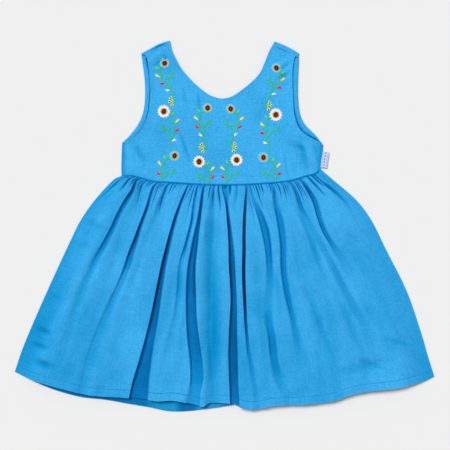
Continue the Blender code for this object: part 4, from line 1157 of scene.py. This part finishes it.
# Feathery twigs, by pixels, from the stem up
TWIGS = (
    ((170.4, 88.6), (168.9, 78.0), (172.5, 75.4), (172.7, 71.3)),
    ((171.2, 138.6), (167.0, 129.5), (163.0, 128.2), (161.0, 125.0)),
    ((162.3, 180.3), (167.9, 174.0), (172.9, 172.6), (175.4, 168.8)),
    ((202.9, 134.8), (205.2, 126.2), (208.5, 123.7), (211.0, 119.4)),
    ((208.8, 183.2), (203.5, 178.4), (199.6, 176.6), (197.4, 173.0)),
    ((233.4, 134.6), (230.3, 126.8), (227.4, 123.6), (226.0, 119.6)),
    ((226.6, 182.4), (231.7, 175.9), (236.2, 174.3), (238.6, 170.6)),
    ((272.2, 92.4), (272.0, 83.4), (269.6, 79.8), (268.4, 75.8)),
    ((266.6, 139.4), (272.0, 132.2), (276.4, 130.2), (279.0, 125.6)),
    ((275.4, 180.6), (270.3, 175.0), (265.3, 173.6), (262.6, 170.0)),
)


class Nodes:
    """Makes the nodes of one tree, for a material or for threads."""

    def __init__(self, tree):
        self.tree = tree

    def make(self, kind, settings=None, values=None):
        """Make one node: first its settings, then the values or links of its sockets."""
        made = self.tree.nodes.new(kind)
        for name, value in (settings or {}).items():
            setattr(made, name, value)
        for name, value in (values or {}).items():
            socket = made.inputs[name]
            if isinstance(value, Link):
                self.tree.links.new(value.socket, socket)
            else:
                socket.default_value = value
        return made

    def link(self, kind, settings=None, values=None, out=0):
        """Make one node and give one of its outputs."""
        return Link(self, self.make(kind, settings, values).outputs[out])


class Link:
    """An output socket; sums written with it add Math nodes."""

    def __init__(self, nodes, socket):
        self.nodes = nodes
        self.socket = socket

    def math(self, operation, first, second=None):
        """One Math node."""
        values = {0: first}
        if second is not None:
            values[1] = second
        return self.nodes.link("ShaderNodeMath", {"operation": operation}, values)

    def __add__(self, other):
        return self.math("ADD", self, other)

    def __radd__(self, other):
        return self.math("ADD", other, self)

    def __sub__(self, other):
        return self.math("SUBTRACT", self, other)

    def __rsub__(self, other):
        return self.math("SUBTRACT", other, self)

    def __mul__(self, other):
        return self.math("MULTIPLY", self, other)

    def sine(self):
        """Sine of the value."""
        return self.math("SINE", self)

    def size(self):
        """The value without its sign."""
        return self.math("ABSOLUTE", self)

    def over(self, edge):
        """1 where the value is above the edge, else 0."""
        return self.math("GREATER_THAN", self, edge)


def thread_tree():
    """Nodes that lay one small thread at every point of a mesh."""
    tree = bpy.data.node_groups.new("lay_threads", "GeometryNodeTree")
    face = tree.interface
    face.new_socket("Geometry", in_out="INPUT", socket_type="NodeSocketGeometry")
    face.new_socket("Thread Sides", in_out="INPUT", socket_type="NodeSocketInt")
    face.new_socket("Thread Rings", in_out="INPUT", socket_type="NodeSocketInt")
    face.new_socket("Plumpness", in_out="INPUT", socket_type="NodeSocketFloat")
    face.new_socket("Thread", in_out="INPUT", socket_type="NodeSocketMaterial")
    face.new_socket("Geometry", in_out="OUTPUT", socket_type="NodeSocketGeometry")
    nodes = Nodes(tree)
    entry = nodes.make("NodeGroupInput")
    given = {socket.name: Link(nodes, socket) for socket in entry.outputs if socket.name}
    thread = nodes.link("GeometryNodeMeshUVSphere", None, {
        "Segments": given["Thread Sides"], "Rings": given["Thread Rings"], "Radius": 0.5})
    kept = {"data_type": "FLOAT_VECTOR"}
    run = nodes.link("GeometryNodeInputNamedAttribute", kept, {"Name": "run"})
    rise = nodes.link("GeometryNodeInputNamedAttribute", kept, {"Name": "rise"})
    size = nodes.link("GeometryNodeInputNamedAttribute", kept, {"Name": "size"})
    lie = nodes.link("FunctionNodeAlignRotationToVector", {"axis": "X"}, {"Vector": run})
    lie = nodes.link("FunctionNodeAlignRotationToVector", {"axis": "Z", "pivot_axis": "X"},
                     {"Rotation": lie, "Vector": rise})
    plump = nodes.link("ShaderNodeCombineXYZ", None, {
        "X": 1.0, "Y": given["Plumpness"], "Z": given["Plumpness"]})
    scale = nodes.link("ShaderNodeVectorMath", {"operation": "MULTIPLY"}, {0: size, 1: plump})
    laid = nodes.link("GeometryNodeInstanceOnPoints", None, {
        "Points": given["Geometry"], "Instance": thread, "Rotation": lie, "Scale": scale})
    laid = nodes.link("GeometryNodeRealizeInstances", None, {"Geometry": laid})
    laid = nodes.link("GeometryNodeSetShadeSmooth", None, {"Geometry": laid})
    laid = nodes.link("GeometryNodeSetMaterial", None, {
        "Geometry": laid, "Material": given["Thread"]})
    nodes.make("NodeGroupOutput", None, {"Geometry": laid})
    return tree


def sew(name, places, runs, rises, sizes, material, plumpness):
    """Turn stitches, given by place, run, upward way and size, into one mesh of threads."""
    mesh = bpy.data.meshes.new(name + "_points")
    places = (np.asarray(places) - np.array((0.0, MIDDLE_Y, 0.0))) * MM
    mesh.from_pydata(places.tolist(), [], [])
    for label, values in (("run", runs), ("rise", rises), ("size", np.asarray(sizes) * MM)):
        layer = mesh.attributes.new(label, "FLOAT_VECTOR", "POINT")
        layer.data.foreach_set("vector", np.asarray(values, float).ravel())
    holder = bpy.data.objects.new(name + "_points", mesh)
    bpy.context.scene.collection.objects.link(holder)
    tree = bpy.data.node_groups.get("lay_threads") or thread_tree()
    change = holder.modifiers.new("threads", "NODES")
    change.node_group = tree
    sockets = {item.name: item.identifier for item in tree.interface.items_tree
               if item.in_out == "INPUT"}
    change[sockets["Thread Sides"]] = STITCH_SIDES
    change[sockets["Thread Rings"]] = STITCH_RINGS
    change[sockets["Plumpness"]] = plumpness
    change[sockets["Thread"]] = material
    graph = bpy.context.evaluated_depsgraph_get()
    made = bpy.data.meshes.new_from_object(holder.evaluated_get(graph))
    bpy.data.objects.remove(holder, do_unlink=True)
    made.name = name
    piece = bpy.data.objects.new(name, made)
    bpy.context.scene.collection.objects.link(piece)
    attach(piece, "root")


class Needle:
    """Gathers the embroidery's stitches by colour and lays them on the front bodice."""

    def __init__(self, lift, width, seed):
        self.lift = lift
        self.width = width
        self.rows = {}
        self.chance = np.random.default_rng(seed)
        self.stems = [np.column_stack(from_photo(*np.array(stem).T)) for stem in STEMS]
        self.spots = np.concatenate([Outline(stem).even(0.6) for stem in self.stems])
        self.runs = np.concatenate(
            [np.gradient(Outline(stem).even(0.6), axis=0) for stem in self.stems])

    def stitch(self, colour, start, end, width, over=0.0):
        """One thread between two places, raised by what lies under it."""
        self.rows.setdefault(colour, []).append((*start, *end, width, over))

    def spoke(self, colour, centre, angle, inner, outer, width, over=0.0):
        """One thread pointing away from a centre."""
        way = np.array((math.cos(angle), math.sin(angle)))
        self.stitch(colour, centre + way * inner, centre + way * outer, width, over)

    def course(self, colour, points, step, width):
        """A line of short threads, each reaching a little past the next one's start."""
        spots = Outline(points).even(step)
        for a, b in zip(spots, spots[1:]):
            self.stitch(colour, a - 0.15 * (b - a), b + 0.15 * (b - a), width)

    def daisy(self, centre, radius, petals):
        """A ragged ring of petals round an orange ring and a dark button with a painted highlight.
        """
        turn = self.chance.uniform(0.0, 6.28)
        part = 2.0 * math.pi / PETAL_THREADS
        for k in range(PETAL_THREADS):
            angle = turn + part * (k + self.chance.uniform(-0.15, 0.15))
            reach = radius * (1.06 if k % 3 == 1 else 0.94) + self.chance.uniform(-0.5, 0.4)
            self.spoke(petals, centre, angle, 3.9, reach, 0.6 * part * (reach + 4.2))
        for k in range(RING_THREADS):
            angle = self.chance.uniform(-0.2, 0.2) + k
            angle = turn + 2.0 * math.pi * angle / RING_THREADS
            reach = 4.6 + self.chance.uniform(-0.3, 0.4)
            self.spoke("orange", centre, angle, 2.7, reach, 0.95, 0.22)
        tilt = self.chance.uniform(-0.5, 0.5)
        along = np.array((math.cos(tilt), math.sin(tilt)))
        across = np.array((-along[1], along[0]))
        # The small patch of pale violet threads on the dark button is a painted highlight
        for colour, size, count, over in (("brown", 3.55, 11, 0.38), ("button_highlight", 1.2, 4, 0.55)):
            for offset in np.linspace(-0.93, 0.93, count):
                half = size * math.sqrt(1.0 - offset ** 2) + self.chance.uniform(-0.15, 0.15)
                middle = centre + across * size * offset
                wide = 2.0 * size / count * 1.15
                self.stitch(colour, middle - along * half, middle + along * half, wide, over)

    def foot(self, centre):
        """Where a bud leaves its stem, and the stem's way up there."""
        low = centre - np.array((0.0, 2.6))
        near = int(np.argmin(np.linalg.norm(self.spots - low, axis=1)))
        run = -self.runs[near] / np.linalg.norm(self.runs[near])
        return self.spots[near], run

    def bud(self, centre, colour):
        """A bud on the stem, forked at its tip, with a short shoot on the other side."""
        foot, run = self.foot(centre)
        way = centre - foot
        angle = math.atan2(way[1], way[0])
        length, width, spread, fan = BUD_KINDS[colour]
        for k, share in enumerate(fan):
            turn = spread * (2.0 * k / (len(fan) - 1) - 1.0)
            reach = length * share + self.chance.uniform(-0.2, 0.2)
            start = 0.4 if abs(turn) < 0.1 else 0.12 * length
            self.spoke(colour, foot, angle + turn, start, reach, width, 0.1)
        side = np.array((-run[1], run[0]))
        if np.dot(side, way) > 0.0:
            side = -side
        shoot = math.atan2(*(0.72 * run + 0.69 * side)[::-1])
        start = foot + run * 0.6
        self.spoke("stem", start, shoot, 0.0, 3.0, self.width * 0.9)
        self.spoke("stem", start, shoot + 0.12, 2.0, 5.6, self.width * 1.3)

    def twig(self, points):
        """A feathery twig with short strokes on both sides."""
        points = np.column_stack(from_photo(*np.array(points).T))
        self.course("stem", points, 2.4, self.width)
        line = Outline(points)
        side = 1.0 if points[-1, 0] > points[0, 0] else -1.0
        for share, turn, reach in ((0.46, 1.1, 5.2), (0.57, -1.2, 6.0), (0.72, -0.9, 5.4),
                                   (0.80, 0.9, 4.0)):
            place, ahead = line.at(np.array((share, share + 0.03)))
            angle = math.atan2(*(ahead - place)[::-1]) + side * turn
            self.spoke("stem", place, angle, 0.0, reach, self.width)

    def spray(self, centre, side):
        """Three bells that hang from a leafy knot on the stem."""
        knot = centre + np.array((-2.1 * side, 0.0))
        for k, offset in enumerate((-0.9, 0.0, 0.9)):
            low = knot + np.array((offset + 0.3 * side, -3.4 + 0.5 * abs(offset)))
            high = knot + np.array((offset * 0.5, 3.2 - 0.6 * abs(offset)))
            self.stitch("leaf", low, high, 1.15, 0.05 * k)
        for way in ((4.4, 5.8), (6.9, -1.0), (2.0, -7.4)):
            tip = np.array((way[0] * side, way[1]))
            angle = math.atan2(tip[1], tip[0])
            reach = float(np.linalg.norm(tip))
            for turn, share in BELL_FAN:
                self.spoke("yellow", knot, angle + turn, reach * 0.48, reach * share, 1.0, 0.12)
            self.spoke("yellow", knot, angle, 0.5, reach * 0.55, 0.9, 0.12)
            self.spoke("brown", knot, angle, reach * 0.58, reach * 0.88, 1.4, 0.50)

    def embroider(self):
        """Work out every stitch of the four vines."""
        for stem in self.stems:
            self.course("stem", stem, 2.3, self.width)
        for points in TWIGS:
            self.twig(points)
        for px, py, side in BELLS:
            self.spray(np.array(from_photo(px, py)), side)
        for px, py, colour in BUDS:
            self.bud(np.array(from_photo(px, py)), colour)
        for px, py, radius, petals in DAISIES:
            self.daisy(np.array(from_photo(px, py)), radius, petals)

    def lay(self, colour, material, plumpness):
        """Make one colour's threads as one piece."""
        x0, y0, x1, y1, width, over = np.array(self.rows[colour]).T
        x = 0.5 * (x0 + x1)
        y = 0.5 * (y0 + y1)
        climb = bodice_front_middle(x1, y1) - bodice_front_middle(x0, y0)
        height = np.minimum(0.48 * width, 0.5)
        z = bodice_front_middle(x, y) + self.lift + 0.3 * height + over
        length = np.hypot(x1 - x0, y1 - y0)
        sew("embroidery_" + colour, np.column_stack((x, y, z)),
            np.column_stack((x1 - x0, y1 - y0, climb)), np.tile((0.0, 0.0, 1.0), (len(x), 1)),
            np.column_stack((length, width, height)), material, plumpness)


def running_stitches(points, normals, pitch, length, width, lift):
    """Places, ways and sizes of machine stitches along a line in space."""
    steps = np.linalg.norm(np.diff(points, axis=0), axis=1)
    far = np.concatenate(([0.0], np.cumsum(steps)))
    at = np.arange(pitch * 0.5, far[-1], pitch)
    place = np.column_stack([np.interp(at, far, points[:, k]) for k in range(3)])
    ahead = np.column_stack([np.interp(at + 0.3, far, points[:, k]) for k in range(3)])
    up = np.column_stack([np.interp(at, far, normals[:, k]) for k in range(3)])
    size = np.tile((length, width, width * 0.7), (len(at), 1))
    return place + up * lift, ahead - place, up, size


def hem_stitches(skirt, sizes, above):
    """Stitches along the upper line of a hem, on the top or the underside."""
    half = 0.5 * sizes.cloth / MM
    share = np.linspace(0.004, 0.996, 1400)
    lengths = skirt.left.length * (1.0 - share) + skirt.right.length * share
    t_line = 1.0 - (HEM_DEPTH - 0.8) / lengths
    t = np.stack((t_line - 0.002, t_line, t_line + 0.002))
    s = np.tile(share, (3, 1))
    points, normals, _ = skirt.surface(s, t, np.zeros(s.shape))
    way = 1.0 if above else -1.0
    return running_stitches(points[1], normals[1] * way, sizes.hem_pitch / MM,
                            sizes.hem_stitch / MM, 0.6, half * 1.7 + 0.05)


def binding_stitches(table):
    """Stitches along the inner edge of an armhole's strip."""
    line, inward = binding_course(table, 400, 0.055, 0.895)
    points = np.column_stack((line + inward * STRIP_SEAM, np.full(len(line), STRIP_TOP)))
    upwards = np.tile((0.0, 0.0, 1.0), (len(line), 1))
    return running_stitches(points, upwards, STRIP_PITCH, STRIP_STITCH, 0.34, 0.02)


# Finishes

def fresh_material(name):
    """An empty material and the maker of its nodes."""
    material = bpy.data.materials.new(name)
    material.use_nodes = True
    material.node_tree.nodes.clear()
    return material, Nodes(material.node_tree)


def blend(nodes, share, first, second, way="MIX"):
    """One colour over another."""
    return nodes.link("ShaderNodeMix", {"data_type": "RGBA", "blend_type": way},
                      {0: share, 6: first, 7: second}, 2)


def spots(nodes, place, scale, detail, rough=0.55):
    """Soft noise between 0 and 1 at a place."""
    return nodes.link("ShaderNodeTexNoise", None, {
        "Vector": place, "Scale": scale, "Detail": detail, "Roughness": rough})


def stretched(nodes, place, x, y, z=0.0):
    """A place stretched along its own axes."""
    return nodes.link("ShaderNodeVectorMath", {"operation": "MULTIPLY"},
                      {0: place, 1: (x, y, z)})


def lit(nodes, tone, red, others):
    """A colour made lighter or darker, its red by a value of its own."""
    grey = nodes.link("ShaderNodeCombineColor", None, {0: red, 1: others, 2: others})
    return blend(nodes, 1.0, tone, grey, "MULTIPLY")


def bumped(nodes, strength, distance, height):
    """Fine relief for a shader's normal."""
    return nodes.link("ShaderNodeBump", None, {
        "Strength": strength, "Distance": distance, "Height": height})


def finish(nodes, values):
    """End a material in one shader with these values."""
    surface = nodes.link("ShaderNodeBsdfPrincipled", None, values)
    nodes.make("ShaderNodeOutputMaterial", None, {"Surface": surface})


def cloth_finish(name, colour, fold_shade_colour, core, sizes, seed):
    """Plain woven cotton: crossing yarns, slubs, faint crush marks and soft fuzz, with painted
    shade.
    """
    material, nodes = fresh_material(name)
    cut = nodes.link("ShaderNodeUVMap", {"uv_map": "cut"})
    cut = nodes.link("ShaderNodeVectorMath", {"operation": "ADD"},
                     {0: cut, 1: (seed * 0.37, seed * 0.19, 0.0)})
    apart = nodes.make("ShaderNodeSeparateXYZ", None, {0: cut})
    turn = math.pi / sizes.weave
    across = (Link(nodes, apart.outputs[0]) * turn).sine()
    along = (Link(nodes, apart.outputs[1]) * turn).sine()
    checker = across * along * 0.5 + 0.5
    yarns = across.size() * along.size()
    slub_wide = spots(nodes, stretched(nodes, cut, 60.0, 460.0), 1.0, 2.0)
    slub_long = spots(nodes, stretched(nodes, cut, 460.0, 60.0), 1.0, 2.0)
    slubs = slub_wide * 0.5 + slub_long * 0.5
    crush = spots(nodes, stretched(nodes, cut, 260.0, 60.0), 1.0, 4.0, 0.6)
    broad = spots(nodes, cut, 22.0, 2.0)
    # Painted shade from each point's value: the blue first loses its red, then deepens to the fold
    # blue and the core blue
    painted_shade = nodes.link("ShaderNodeAttribute", {"attribute_name": "painted_shade"}, None, 2)
    mottle = spots(nodes, cut, 360.0, 2.0, 0.7)
    shade_tint = (0.1 * colour[0], *colour[1:], 1.0)
    tone = blend(nodes, painted_shade * 3.6 - 0.4, (*colour, 1.0), shade_tint)
    tone = blend(nodes, painted_shade * 1.5, tone, (*fold_shade_colour, 1.0))
    tone = blend(nodes, painted_shade * 3.0 - 2.0, tone, (*core, 1.0))
    light = 0.42 + slubs * 0.50 + checker * 0.06 + broad * 0.12 + mottle * 0.46
    relief = yarns * 0.35 + slubs * 0.5 + crush * 1.1
    finish(nodes, {
        "Base Color": lit(nodes, tone, light * light, light),
        "Roughness": 0.78 + crush * 0.14, "Normal": bumped(nodes, 0.5, 0.0004, relief),
        "Sheen Weight": 0.02, "Sheen Roughness": 0.45, "Sheen Tint": (0.55, 0.80, 1.0, 1.0),
        "Specular IOR Level": 0.08})
    return material


def thread_finish(name, colour, dark):
    """Shiny embroidery thread with a fine twist and uneven dye."""
    material, nodes = fresh_material(name)
    place = nodes.link("ShaderNodeTexCoord", None, None, 3)
    fleck = spots(nodes, place, 900.0, 2.0)
    twist = spots(nodes, stretched(nodes, place, 2600.0, 2600.0, 600.0), 1.0, 1.0)
    tone = blend(nodes, fleck * 0.9 - 0.1, (*dark, 1.0), (*colour, 1.0))
    finish(nodes, {
        "Base Color": tone, "Roughness": 0.42 + fleck * 0.2,
        "Normal": bumped(nodes, 0.3, 0.0002, twist),
        "Sheen Weight": 0.02, "Sheen Roughness": 0.3, "Specular IOR Level": 0.12})
    return material


def tape_finish(name, colour, mark, sizes):
    """Satin woven tape with edge lines and a row of small lozenges."""
    material, nodes = fresh_material(name)
    cut = nodes.link("ShaderNodeUVMap", {"uv_map": "cut"})
    apart = nodes.make("ShaderNodeSeparateXYZ", None, {0: cut})
    across = Link(nodes, apart.outputs[0])
    along = Link(nodes, apart.outputs[1])
    twill = ((across + along) * (math.pi / TWILL)).sine() * 0.5 + 0.5
    middle = (across - 0.5 * sizes.label_width).size()
    beat = (along * (math.pi / LOZENGE_PITCH)).sine().size()
    lozenge = (beat * LOZENGE_REACH - middle).over(LOZENGE_EDGE)
    line = 1.0 - (middle - TAPE_LINE).size().over(TAPE_LINE_HALF)
    inked = nodes.link("ShaderNodeMath", {"operation": "MAXIMUM"}, {0: lozenge, 1: line})
    fleck = spots(nodes, cut, 1400.0, 2.0)
    tone = blend(nodes, inked * 0.8, (*colour, 1.0), (*mark, 1.0))
    light = 0.86 + twill * 0.10 + fleck * 0.10
    finish(nodes, {
        "Base Color": lit(nodes, tone, light, light), "Roughness": 0.5 + fleck * 0.15,
        "Normal": bumped(nodes, 0.3, 0.0002, twill + inked * 0.6),
        "Sheen Weight": 0.2, "Specular IOR Level": 0.4})
    return material


def floor_finish(name, colour):
    """Pale matt paper with the faintest mottling."""
    material, nodes = fresh_material(name)
    place = nodes.link("ShaderNodeTexCoord", None, None, 3)
    mottle = spots(nodes, place, 40.0, 2.0)
    light = 0.995 + mottle * 0.01
    finish(nodes, {
        "Base Color": lit(nodes, (*colour, 1.0), light, light), "Roughness": 0.95,
        "Specular IOR Level": 0.0})
    return material


# What a user can change

def length(name, description, default):
    """A size in metres."""
    return FloatProperty(name=name, description=description, default=default, min=0.0,
                         precision=4, unit="LENGTH")


def colour(name, description, default):
    """A colour in linear light."""
    return FloatVectorProperty(name=name, description=description, default=default,
                               size=3, min=0.0, max=1.0, subtype="COLOR")


class SundressSizes(bpy.types.PropertyGroup):
    """Sizes of the cloth, the trims and the threads."""

    cloth: length("Cloth", "Thickness of the cotton", 0.0005)
    weave: length("Weave", "Distance between two yarns", 0.00042)
    skirt_cut: length("Skirt cut width", "Hem width of one skirt panel before gathering", 0.60)
    skirt_length: length("Skirt cut length", "Length of one skirt panel with its hem", 0.30)
    binding: length("Armhole strip", "Width of the strip inside an armhole", 0.0066)
    label_width: length("Label width", "How far the folded label stands out", 0.0082)
    label_length: length("Label length", "Length of the label along the seam", 0.0212)
    hem_stitch: length("Hem stitch", "Length of one hem stitch", 0.0022)
    hem_pitch: length("Hem stitch spacing", "From one hem stitch to the next", 0.0030)
    stem: length("Stem thread", "Width of the embroidered stems", 0.0013)
    plumpness: FloatProperty(name="Plumpness", description="How full the threads are",
                             default=1.0, min=0.5, max=2.0, subtype="FACTOR")
    seed: IntProperty(name="Seed", description="Unevenness of the embroidery", default=4)


class SundressColours(bpy.types.PropertyGroup):
    """Colours of the cloth, the label, the threads and the floor."""

    cloth: colour("Cloth", "Lit sky blue of the cotton", (0.050, 0.450, 0.895))
    # Painted shade: the blue of the cloth deep in its folds and at the foot of a fold
    fold: colour("Folds", "Deeper blue between the folds", (0.0004, 0.160, 0.450))
    core: colour("Fold cores", "Darkest blue at the foot of a fold", (0.0002, 0.016, 0.090))
    # The inside is the cloth's blue a little darker: painted shade for the back panels under the
    # front
    inside: colour("Inside", "Inside of the back panels", (0.048, 0.425, 0.850))
    seam: colour("Seam thread", "Machine stitches", (0.004, 0.140, 0.430))
    tape: colour("Label", "Bare woven tape", (0.560, 0.740, 1.000))
    tape_mark: colour("Label pattern", "Lozenges and edge lines", (0.200, 0.130, 0.620))
    stem: colour("Stems", "Green of stems and twigs", (0.050, 0.640, 0.030))
    leaf: colour("Leaves", "Lime of the leafy buds", (0.140, 0.780, 0.050))
    yellow: colour("Yellow", "Yellow buds and bells", (1.000, 0.880, 0.060))
    red: colour("Red", "Red buds", (0.820, 0.010, 0.030))
    white: colour("White", "White petals and buds", (0.985, 0.990, 1.000))
    pale_blue: colour("Pale blue", "Pale blue petals", (0.160, 0.720, 1.000))
    orange: colour("Orange", "Ring round each dark button", (1.000, 0.400, 0.001))
    brown: colour("Brown", "Dark button of each flower", (0.060, 0.010, 0.018))
    # Pale violet threads for a painted highlight on the dark button
    button_highlight: colour("Violet", "Spot on the dark button", (0.150, 0.110, 0.230))
    floor: colour("Floor", "Pale surface under the dress", (0.870, 0.870, 0.870))


class Piece:
    """What the operators share."""

    bl_options = {"REGISTER", "UNDO"}

    @staticmethod
    def cloth(context, inside=False):
        """The outside cotton, or the inside one darkened with painted shade, made once."""
        name = "cotton_inside_painted_shade" if inside else "cotton_outside"
        colours = context.scene.sundress_colours
        tone = colours.inside if inside else colours.cloth
        return bpy.data.materials.get(name) or cloth_finish(
            name, tuple(tone), tuple(colours.fold), tuple(colours.core),
            context.scene.sundress_sizes, int(inside))

    @staticmethod
    def thread(context, name):
        """Thread of one of the colours, made once."""
        tone = tuple(getattr(context.scene.sundress_colours, name))
        dark = tuple(0.88 * part for part in tone)
        return bpy.data.materials.get("thread_" + name) or thread_finish(
            "thread_" + name, tone, dark)


class SUNDRESS_OT_back_skirt(Piece, bpy.types.Operator):
    """Make the back skirt panel"""

    bl_idname = "sundress.back_skirt"
    bl_label = "Back skirt"

    def execute(self, context):
        """Make the piece."""
        make_skirt(context.scene.sundress_sizes, self.cloth(context, True), BACK_SKIRT,
                   "skirt_back_cloth", "skirt_back")
        return {"FINISHED"}


class SUNDRESS_OT_back_bodice(Piece, bpy.types.Operator):
    """Make the back bodice, turned over the shoulders"""

    bl_idname = "sundress.back_bodice"
    bl_label = "Back bodice"

    def execute(self, context):
        """Make the piece."""
        make_bodice_back(context.scene.sundress_sizes, self.cloth(context, True))
        return {"FINISHED"}


class SUNDRESS_OT_bindings(Piece, bpy.types.Operator):
    """Make the strips inside the armholes"""

    bl_idname = "sundress.bindings"
    bl_label = "Armhole strips"

    def execute(self, context):
        """Make the pieces."""
        make_bindings(context.scene.sundress_sizes, self.cloth(context, True))
        return {"FINISHED"}


class SUNDRESS_OT_front_skirt(Piece, bpy.types.Operator):
    """Make the front skirt panel with its long folds"""

    bl_idname = "sundress.front_skirt"
    bl_label = "Front skirt"

    def execute(self, context):
        """Make the piece."""
        make_skirt(context.scene.sundress_sizes, self.cloth(context), FRONT_SKIRT,
                   "skirt_front_cloth", "skirt_front")
        return {"FINISHED"}


class SUNDRESS_OT_front_bodice(Piece, bpy.types.Operator):
    """Make the front bodice with its straps"""

    bl_idname = "sundress.front_bodice"
    bl_label = "Front bodice"

    def execute(self, context):
        """Make the piece."""
        make_bodice_front(context.scene.sundress_sizes, self.cloth(context))
        return {"FINISHED"}


class SUNDRESS_OT_label(Piece, bpy.types.Operator):
    """Make the folded label in the side seam"""

    bl_idname = "sundress.label"
    bl_label = "Side label"

    def execute(self, context):
        """Make the piece."""
        colours = context.scene.sundress_colours
        sizes = context.scene.sundress_sizes
        make_label(sizes, tape_finish("woven_tape", tuple(colours.tape),
                                      tuple(colours.tape_mark), sizes))
        return {"FINISHED"}


class SUNDRESS_OT_seams(Piece, bpy.types.Operator):
    """Sew the hems and the armhole strips"""

    bl_idname = "sundress.seams"
    bl_label = "Machine stitches"

    def execute(self, context):
        """Make the pieces."""
        sizes = context.scene.sundress_sizes
        thread = self.thread(context, "seam")
        rows = {
            "stitches_hem_front": hem_stitches(FRONT_SKIRT, sizes, True),
            "stitches_hem_back": hem_stitches(BACK_SKIRT, sizes, False),
            "stitches_armhole_left": binding_stitches(ARM_BACK_LEFT),
            "stitches_armhole_right": binding_stitches(ARM_BACK_RIGHT),
        }
        for name, row in rows.items():
            sew(name, *row, thread, sizes.plumpness)
        return {"FINISHED"}


class SUNDRESS_OT_embroidery(Piece, bpy.types.Operator):
    """Embroider the four flower vines"""

    bl_idname = "sundress.embroidery"
    bl_label = "Embroidery"

    def execute(self, context):
        """Make the pieces."""
        sizes = context.scene.sundress_sizes
        needle = Needle(0.5 * sizes.cloth / MM, sizes.stem / MM, sizes.seed)
        needle.embroider()
        for name in needle.rows:
            needle.lay(name, self.thread(context, name), sizes.plumpness)
        return {"FINISHED"}


class SUNDRESS_OT_stage(Piece, bpy.types.Operator):
    """Set the floor, the light and the camera"""

    bl_idname = "sundress.stage"
    bl_label = "Stage"

    def execute(self, context):
        """Make the stage."""
        scene = context.scene
        mesh = bpy.data.meshes.new("floor")
        corners = [(x * FLOOR_HALF, y * FLOOR_HALF, FLOOR_LOW)
                   for x, y in ((-1, -1), (1, -1), (1, 1), (-1, 1))]
        mesh.from_pydata(corners, [], [(0, 1, 2, 3)])
        mesh.materials.append(floor_finish("paper", tuple(scene.sundress_colours.floor)))
        floor = bpy.data.objects.new("floor", mesh)
        scene.collection.objects.link(floor)
        world = bpy.data.worlds.new("studio")
        world.use_nodes = True
        air = world.node_tree.nodes["Background"].inputs
        air["Color"].default_value = (1.0, 1.0, 1.0, 1.0)
        air["Strength"].default_value = AMBIENT
        scene.world = world
        lamp = bpy.data.lights.new("window", "SUN")
        lamp.angle = math.radians(WINDOW_ANGLE)
        lamp.energy = WINDOW_POWER
        stand = bpy.data.objects.new("window", lamp)
        stand.location = WINDOW_PLACE
        stand.rotation_euler = (-Vector(WINDOW_PLACE)).to_track_quat("-Z", "Y").to_euler()
        scene.collection.objects.link(stand)
        lens = bpy.data.cameras.new("camera")
        lens.sensor_width = SENSOR
        lens.lens = LENS
        lens.clip_start = NEAR_CLIP
        view = bpy.data.objects.new("camera", lens)
        x, y = from_photo(0.5 * PHOTO_SIZE, 0.5 * PHOTO_SIZE)
        far = PHOTO_SIZE * PIXEL * LENS / SENSOR
        view.location = (x * MM, (y - MIDDLE_Y) * MM, far * MM)
        scene.collection.objects.link(view)
        scene.camera = view
        scene.view_settings.view_transform = "Standard"
        return {"FINISHED"}


STEPS = (
    SUNDRESS_OT_back_skirt, SUNDRESS_OT_back_bodice, SUNDRESS_OT_bindings,
    SUNDRESS_OT_front_skirt, SUNDRESS_OT_front_bodice, SUNDRESS_OT_label,
    SUNDRESS_OT_seams, SUNDRESS_OT_embroidery, SUNDRESS_OT_stage,
)


class SUNDRESS_PT_pieces(bpy.types.Panel):
    """Lists the pieces of the dress"""

    bl_label = "Gathered Sundress"
    bl_space_type = "VIEW_3D"
    bl_region_type = "UI"
    bl_category = "Sundress"

    def draw(self, context):
        """Draw the buttons and the values."""
        for step in STEPS:
            self.layout.operator(step.bl_idname, text=step.bl_label)
        for group in (context.scene.sundress_sizes, context.scene.sundress_colours):
            for name in group.__annotations__:
                self.layout.prop(group, name)


CLASSES = (SundressSizes, SundressColours) + STEPS + (SUNDRESS_PT_pieces,)


def register():
    """Make the classes and their values known."""
    for item in CLASSES:
        bpy.utils.register_class(item)
    bpy.types.Scene.sundress_sizes = PointerProperty(type=SundressSizes)
    bpy.types.Scene.sundress_colours = PointerProperty(type=SundressColours)


def unregister():
    """Take the classes and their values away."""
    del bpy.types.Scene.sundress_colours
    del bpy.types.Scene.sundress_sizes
    for item in reversed(CLASSES):
        bpy.utils.unregister_class(item)


def main():
    """Make every piece."""
    register()
    for step in STEPS:
        group, name = step.bl_idname.split(".")
        getattr(getattr(bpy.ops, group), name)()
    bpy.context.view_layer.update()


if __name__ == "__main__":
    main()
